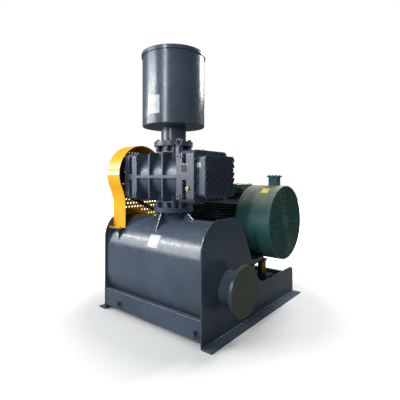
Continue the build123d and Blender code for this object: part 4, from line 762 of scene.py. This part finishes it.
def smooth_by_angle(piece: bpy.types.Object, degrees: float = 30.0) -> None:
    """Smooths a piece's shading except over sharp corners."""
    mesh = piece.data
    mesh.polygons.foreach_set("use_smooth", [True] * len(mesh.polygons))
    work = bmesh.new()
    work.from_mesh(mesh)
    for edge in work.edges:
        edge.smooth = len(edge.link_faces) == 2 and edge.calc_face_angle(0.0) < math.radians(degrees)
    work.to_mesh(mesh)
    work.free()


@dataclass
class CadNodes:
    """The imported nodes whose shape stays: each gets its finish."""

    frame: dict
    palette: Palette

    def dress(self) -> None:
        """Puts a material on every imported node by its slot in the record."""
        by_slot = {
            "slate_paint": self.palette.slate,
            "slate_casting": self.palette.casting,
            "teal_paint": self.palette.teal,
            "guard_yellow": self.palette.yellow,
            "olive_sheet": self.palette.olive,
            "zinc": self.palette.zinc,
            "ground_steel": self.palette.steel,
            "pulley_iron": self.palette.iron,
            "belt_rubber": self.palette.rubber,
            "brass": self.palette.brass,
            "fan_plastic": self.palette.plastic,
            "filter_felt": self.palette.felt,
            "fastener_slate": self.palette.bolt,
            "fastener_teal": self.palette.teal_bolt,
        }
        for row in self.frame["record"]["subparts"]:
            node = self.frame["nodes"][row["node"]]
            node.data.materials.clear()
            node.data.materials.append(by_slot[row["material_slot"]])
        # Painted shade: the motor frame takes the darker, shaded copy of the teal paint.
        self.frame["nodes"]["motor_frame"].data.materials[0] = self.palette.shaded_frame_teal


# Directions in which a hole of the guard has to keep clear of the panel's edge
AROUND = ((1, 0), (-1, 0), (0, 1), (0, -1), (0.7, 0.7), (-0.7, 0.7), (0.7, -0.7), (-0.7, -0.7))


@dataclass
class BeltGuard:
    """The belt guard: punched outer panel, and reflective stripes round the band's nose."""

    frame: dict
    palette: Palette
    nose_y: float = -0.485
    nose_z: float = 1.243
    nose_r: float = 0.270
    hole_r: float = 0.0055
    hole_pitch: float = 0.036
    row_pitch: float = 0.038
    margin: float = 0.030
    stripe_t: float = 0.0006
    wide_stripe: tuple[float, float] = (1.236, 1.266)
    thin_stripe: tuple[float, float] = (1.296, 1.308)

    def punch_spots(self) -> list[Spot]:
        """Places of the holes: a staggered grid over the panel, clear of its edges."""
        node = self.frame["nodes"]["guard_panel"]
        low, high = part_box("guard_panel")
        middle_x = (low[0] + high[0]) / 2
        spots = []
        rows = int((high[2] - low[2]) / self.row_pitch)
        for row in range(rows + 1):
            z = low[2] + row * self.row_pitch
            shift = (row % 2) * self.hole_pitch / 2
            for column in range(int((high[1] - low[1]) / self.hole_pitch) + 1):
                y = low[1] + shift + column * self.hole_pitch
                inside = all(
                    self.on_sheet(node, y + dy * self.margin, z + dz * self.margin, low[0])
                    for dy, dz in AROUND
                )
                if inside:
                    spots.append(Spot((middle_x, y, z), (1, 0, 0)))
        return spots

    @staticmethod
    def on_sheet(node: bpy.types.Object, y: float, z: float, low_x: float) -> bool:
        """Whether a line along X at y, z meets the panel."""
        return node.ray_cast(Vector((low_x - 0.1, y, z)), Vector((1, 0, 0)))[0]

    def build(self) -> None:
        """Makes the punched panel and the stripes."""
        node = self.frame["nodes"]["guard_panel"]
        seed = spot_mesh("punches", self.punch_spots())
        panel = PerforationTree(node).run(
            "punched_panel", seed, self.palette.yellow, Hole_Radius=self.hole_r, Punch_Length=0.02)
        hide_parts("guard_panel")
        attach(panel, ROOT)
        LOG.info("punched panel: %d holes, %d faces", len(seed.vertices), len(panel.data.polygons))
        low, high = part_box("guard_band")
        for name, (foot, head) in (("wide_stripe", self.wide_stripe), ("thin_stripe", self.thin_stripe)):
            angles = tuple(
                180 - math.degrees(math.asin((z - self.nose_z) / self.nose_r)) for z in (head, foot)
            )
            stripe = arc_plate(name, "X", (0, self.nose_y, self.nose_z), self.nose_r, angles,
                               (low[0] + 0.003, high[0] - 0.003), self.stripe_t, self.palette.stripe)
            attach(stripe, ROOT)
        LOG.info("stripes on the guard")


@dataclass
class Labels:
    """Plain label plates where the real set carries its labels; they bear no marks."""

    palette: Palette
    shell_centre: Vec3 = (0.0, -0.459, 0.557)
    shell_r: float = 0.298
    shell_span: tuple[float, float] = (-0.028, 0.090)
    shell_angles: tuple[float, float] = (142.6, 163.4)
    intake_centre: Vec3 = (0.0, -0.459, 0.0)
    intake_r: float = 0.272
    intake_span: tuple[float, float] = (1.734, 1.882)
    intake_angles: tuple[float, float] = (263.3, 289.0)
    cowl_centre: Vec3 = (0.0, 0.390, 0.784)
    cowl_r: float = 0.350
    cowl_span: tuple[float, float] = (0.505, 0.580)
    cowl_angles: tuple[float, float] = (112.0, 126.0)
    pump_y: float = -0.459
    cover_half_y: float = 0.188
    head_half_y: float = 0.220

    def build(self) -> None:
        """Makes the plates."""
        shell = arc_plate("shell_label", "X", self.shell_centre, self.shell_r, self.shell_angles,
                          self.shell_span, 0.0012, self.palette.label)
        intake = arc_plate("intake_label", "Z", self.intake_centre, self.intake_r, self.intake_angles,
                           self.intake_span, 0.0012, self.palette.label)
        front_y = self.pump_y - self.cover_half_y
        cover = flat_plate("cover_label", (0.426, front_y - 0.001, 1.288),
                           (0.464, front_y + 0.001, 1.322), 0.0004, self.palette.label)
        head_y = self.pump_y - self.head_half_y
        rim = flat_plate("head_plate_rim", (0.283, head_y - 0.0016, 1.244), (0.359, head_y, 1.315), 0.0006,
                         self.palette.label)
        plate = flat_plate("head_plate", (0.286, head_y - 0.0024, 1.247),
                           (0.356, head_y - 0.0004, 1.312), 0.0006, self.palette.plate)
        for piece in (shell, intake, cover, rim, plate):
            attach(piece, ROOT)
        cowl = arc_plate("cowl_label", "X", self.cowl_centre, self.cowl_r, self.cowl_angles, self.cowl_span,
                         0.0008, self.palette.pale_label)
        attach(cowl, CARRIER)
        LOG.info("six plain labels and plates")


@dataclass
class Welds:
    """Weld beads at the welded joints of the base and the pipes."""

    palette: Palette
    bead_r: float = 0.0045

    def loop(self, points: list[Vec3], closed: bool) -> tuple[list[Vec3], list[tuple[int, int]]]:
        """Points of a path with the edges that join them."""
        edges = [(index, index + 1) for index in range(len(points) - 1)]
        if closed:
            edges.append((len(points) - 1, 0))
        return points, edges

    def obround(self, x: float, inset: float) -> list[Vec3]:
        """Path round the silencer shell at x."""
        radius = 0.298 + inset
        path = []
        for turn in range(0, 181, 6):
            angle = math.radians(180 - turn)
            path.append((x, -0.459 + radius * math.cos(angle), 0.557 + radius * math.sin(angle)))
        for turn in range(0, 181, 6):
            angle = math.radians(-turn)
            path.append((x, -0.459 + radius * math.cos(angle), 0.360 + radius * math.sin(angle)))
        return path

    def circle_x(self, x: float, y: float, z: float, radius: float) -> list[Vec3]:
        """Circle about a line along X."""
        return [
            (x, y + radius * math.cos(math.radians(turn)), z + radius * math.sin(math.radians(turn)))
            for turn in range(0, 360, 6)
        ]

    def circle_z(self, z: float, radius: float) -> list[Vec3]:
        """Circle about the pump's upright line."""
        return [
            (radius * math.cos(math.radians(turn)), -0.459 + radius * math.sin(math.radians(turn)), z)
            for turn in range(0, 360, 6)
        ]

    def saddle(self) -> list[Vec3]:
        """Path where the stub pipe meets the top of the shell."""
        path = []
        for turn in range(0, 360, 6):
            x = 0.1095 * math.cos(math.radians(turn))
            y = 0.1095 * math.sin(math.radians(turn))
            path.append((x, -0.459 + y, 0.557 + math.sqrt(0.298**2 - y**2)))
        return path

    def build(self) -> None:
        """Makes all beads as one piece."""
        paths = [
            (self.obround(0.5615, 0.001), True),
            (self.obround(-0.5615, 0.001), True),
            (self.circle_x(0.5725, -0.430, 0.350, 0.139), True),
            (self.circle_x(0.6955, -0.430, 0.350, 0.1375), True),
            (self.circle_z(1.652, 0.1105), True),
            (self.circle_z(1.5215, 0.1105), True),
            (self.circle_z(0.9145, 0.1105), True),
            (self.saddle(), True),
        ]
        verts: list[Vec3] = []
        edges: list[tuple[int, int]] = []
        for points, closed in paths:
            start = len(verts)
            path, joins = self.loop(points, closed)
            verts.extend(path)
            edges.extend((start + first, start + second) for first, second in joins)
        seed = bpy.data.meshes.new("bead_paths")
        seed.from_pydata(verts, edges, [])
        beads = BeadTree().run("weld_beads", seed, self.palette.slate, Bead_Radius=self.bead_r)
        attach(beads, ROOT)
        LOG.info("weld beads: %d faces", len(beads.data.polygons))


@dataclass
class MotorDress:
    """Small parts of the motor: cover screws, glands, woven wire behind the cowl's rings."""

    palette: Palette
    axis_y: float = 0.390
    axis_z: float = 0.784
    cowl_r: float = 0.350
    wire_pitch: float = 0.0125
    opening_r: float = 0.337

    def build(self) -> None:
        """Makes the motor's small parts."""
        low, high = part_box("terminal_lid")
        spots = [
            Spot((x, y, high[2]), (0, 0, 1))
            for x in (low[0] + 0.028, (low[0] + high[0]) / 2, high[0] - 0.028)
            for y in (low[1] + 0.028, high[1] - 0.028)
        ]
        aux_low, aux_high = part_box("aux_box")
        spots += [
            Spot((x, y, aux_high[2]), (0, 0, 1))
            for x in (aux_low[0] + 0.022, aux_high[0] - 0.022)
            for y in (aux_low[1] + 0.022, aux_high[1] - 0.022)
        ]
        shield_low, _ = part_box("drive_end_shield")
        for turn in range(8):
            angle = math.radians(22.5 + 45 * turn)
            spots.append(Spot((
                shield_low[0], self.axis_y + 0.225 * math.cos(angle), self.axis_z + 0.225 * math.sin(angle),
            ), (-1, 0, 0)))
        cowl_low, cowl_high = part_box("fan_cowl")
        for turn in (45, 135, 225, 315):
            angle = math.radians(turn)
            spots.append(Spot((
                cowl_low[0] + 0.022,
                self.axis_y + self.cowl_r * math.cos(angle),
                self.axis_z + self.cowl_r * math.sin(angle),
            ), (0, math.cos(angle), math.sin(angle))))
        screws = FastenerTree().run("motor_screws", spot_mesh("motor_spots", spots), self.palette.teal)
        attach(screws, CARRIER)
        wire = self.wires(cowl_high[0] - 0.0055)
        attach(wire, CARRIER)
        glands = []
        for index, y in enumerate((-0.07, 0.07)):
            outline = [
                (0.030, 0.0), (0.030, 0.014), (0.024, 0.016), (0.024, 0.030), (0.014, 0.036), (0.0, 0.036),
            ]
            outline[-1] = (0.004, 0.036)
            gland = turned(f"cable_gland_{index + 1}", outline, (high[0] - 0.008, self.axis_y + y, 1.082),
                           (1, 0, 0), self.palette.plastic)
            smooth_by_angle(gland)
            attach(gland, CARRIER)
            glands.append(gland)
        LOG.info("motor dressed: %d screws, %d glands", len(spots), len(glands))

    def wires(self, x: float) -> bpy.types.Object:
        """Woven wire disc just behind the ring grille, at x."""
        count = int(self.opening_r / self.wire_pitch) - 1
        mesh = bpy.data.meshes.new("wire_centres")
        rows = [index * self.wire_pitch for index in range(-count, count + 1)]
        places = [(x, self.axis_y, self.axis_z + row) for row in rows]
        places += [(x + 0.001, self.axis_y + row, self.axis_z) for row in rows]
        mesh.from_pydata(places, [], [])
        mesh.attributes.new("facing", "FLOAT_VECTOR", "POINT")
        mesh.attributes.new("offset", "FLOAT", "POINT")
        facing = mesh.attributes["facing"]
        offset = mesh.attributes["offset"]
        for index, row in enumerate(rows):
            facing.data[index].vector = (0, 1, 0)
            facing.data[index + len(rows)].vector = (0, 0, 1)
            offset.data[index].value = row
            offset.data[index + len(rows)].value = row
        return MeshTree().run("cowl_wire", mesh, self.palette.teal, Opening_Radius=self.opening_r)


@dataclass
class SightGlasses:
    """Glass discs in the oil sight glasses."""

    palette: Palette

    def build(self) -> None:
        """Makes the discs."""
        low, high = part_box("sight_glasses")
        for index, x in enumerate((low[0] + 0.017, high[0] - 0.017)):
            outline = [(0.0100, 0.0), (0.0100, 0.0030), (0.0080, 0.0042), (0.001, 0.0045)]
            disc = turned(f"sight_disc_{index + 1}", outline,
                          (x, low[1] + 0.004, (low[2] + high[2]) / 2), (0, -1, 0), self.palette.glass)
            smooth_by_angle(disc)
            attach(disc, ROOT)
        LOG.info("sight glasses")


@dataclass
class Studio:
    """Floor, lamps, world and the camera at the photograph's place."""

    camera_place: Vec3 = (1.9937, -2.5372, 1.207)
    view_along: Vec3 = (-0.6315, 0.7754, 0.0)
    lens: float = 29.17
    horizon_shift: float = -0.055
    floor_half: float = 14.0
    floor_lift: float = 0.02
    floor_seen: float = 0.60
    floor_bounce: float = 0.20
    shadow_reach: float = 1.1
    painted_glow_gain: float = 0.6
    soft_light: float = 0.15

    def lamp(self, name: str, place: Vec3, target: Vec3, size: tuple[float, float], power: float,
             gloss_only: bool = False) -> None:
        """Adds a soft rectangular lamp.

        Args:
            name: Name of the lamp.
            place: Where it stands.
            target: What it points at.
            size: Width and height.
            power: Strength in watts.
            gloss_only: Whether it shows only as a highlight, as a far window does.
        """
        light = bpy.data.lights.new(name, "AREA")
        light.shape = "RECTANGLE"
        light.size, light.size_y = size
        light.energy = power
        holder = bpy.data.objects.new(name, light)
        holder.visible_diffuse = not gloss_only
        holder.location = place
        holder.rotation_euler = (Vector(target) - Vector(place)).to_track_quat("-Z", "Y").to_euler()
        bpy.context.scene.collection.objects.link(holder)

    def build(self) -> None:
        """Makes the whole stage."""
        self.floor()
        self.world()
        middle = (0.0, -0.1, 1.0)
        self.lamp("key", (-2.9, -3.8, 2.5), middle, (2.6, 2.8), 180.0)
        self.lamp("side_strip", (0.95, -4.3, 2.9), (0.5, -0.5, 1.2), (0.35, 2.2), 80.0)
        self.lamp("long_line", (-4.0, -3.3, 2.9), (-4.0, -0.2, 0.8), (6.0, 0.10), 130.0, True)
        self.lamp("top", (-0.6, -0.8, 4.6), middle, (2.6, 2.6), 50.0)
        self.lamp("rear", (0.6, 3.0, 3.6), (0.0, 0.0, 0.6), (1.8, 1.8), 190.0)
        self.camera()
        LOG.info("stage set")

    def floor(self) -> None:
        """Pale floor that keeps the object's shadow, with a painted glow that whitens it more the farther it
        lies beyond shadow_reach.
        """
        half = self.floor_half
        mesh = bpy.data.meshes.new("floor")
        corners = [(-half, -half, 0), (half, -half, 0), (half, half, 0), (-half, half, 0)]
        mesh.from_pydata(corners, [], [(0, 1, 2, 3)])
        sheet = NodeSheet("pale_floor")
        sheet.shader.inputs["Roughness"].default_value = 0.9
        sheet.shader.inputs["Emission Color"].default_value = (1.0, 1.0, 1.0, 1.0)
        seen = sheet.node("ShaderNodeLightPath").outputs["Is Camera Ray"]
        pale = sheet.maths("ADD", sheet.maths("MULTIPLY", seen, self.floor_seen), self.floor_bounce)
        sheet.feed(sheet.shader.inputs["Base Color"], pale)
        # Painted light: for camera rays the floor glows, more the farther it lies beyond shadow_reach from
        # the middle.
        length = sheet.node("ShaderNodeVectorMath", operation="LENGTH")
        sheet.feed(length.inputs[0], sheet.node("ShaderNodeNewGeometry").outputs["Position"])
        away = sheet.maths("SUBTRACT", length.outputs["Value"], self.shadow_reach)
        painted_glow_rise = sheet.maths("MULTIPLY", sheet.maths("MAXIMUM", away, 0.0), self.painted_glow_gain)
        painted_glow = sheet.maths("ADD", painted_glow_rise, self.floor_lift)
        sheet.feed(sheet.shader.inputs["Emission Strength"], sheet.maths("MULTIPLY", seen, painted_glow))
        piece = loose_object("floor", mesh, sheet.material)

    def world(self) -> None:
        """White background for the camera, plain soft light for the object."""
        world = bpy.data.worlds.new("studio")
        bpy.context.scene.world = world
        world.use_nodes = True
        tree = world.node_tree
        tree.nodes.clear()
        path = tree.nodes.new("ShaderNodeLightPath")
        soft = tree.nodes.new("ShaderNodeBackground")
        soft.inputs["Color"].default_value = (0.84, 1.0, 0.98, 1.0)
        soft.inputs["Strength"].default_value = self.soft_light
        white = tree.nodes.new("ShaderNodeBackground")
        white.inputs["Color"].default_value = (1.0, 1.0, 1.0, 1.0)
        white.inputs["Strength"].default_value = 1.0
        choice = tree.nodes.new("ShaderNodeMixShader")
        output = tree.nodes.new("ShaderNodeOutputWorld")
        tree.links.new(path.outputs["Is Camera Ray"], choice.inputs[0])
        tree.links.new(soft.outputs[0], choice.inputs[1])
        tree.links.new(white.outputs[0], choice.inputs[2])
        tree.links.new(choice.outputs[0], output.inputs[0])

    def camera(self) -> None:
        """Level camera with the photograph's horizon."""
        lens = bpy.data.cameras.new("camera")
        lens.lens = self.lens
        lens.sensor_width = 36.0
        lens.shift_y = self.horizon_shift
        holder = bpy.data.objects.new("camera", lens)
        holder.location = self.camera_place
        holder.rotation_euler = Vector(self.view_along).to_track_quat("-Z", "Y").to_euler()
        bpy.context.scene.collection.objects.link(holder)
        bpy.context.scene.camera = holder


def main() -> None:
    """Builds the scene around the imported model."""
    logging.basicConfig(level=logging.INFO, format="%(name)s: %(message)s")
    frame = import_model()
    bpy.context.scene.view_settings.view_transform = "Standard"
    palette = Palette()
    CadNodes(frame, palette).dress()
    BeltGuard(frame, palette).build()
    Labels(palette).build()
    Welds(palette).build()
    MotorDress(palette).build()
    SightGlasses(palette).build()
    Studio().build()


if __name__ == "__main__":
    main()
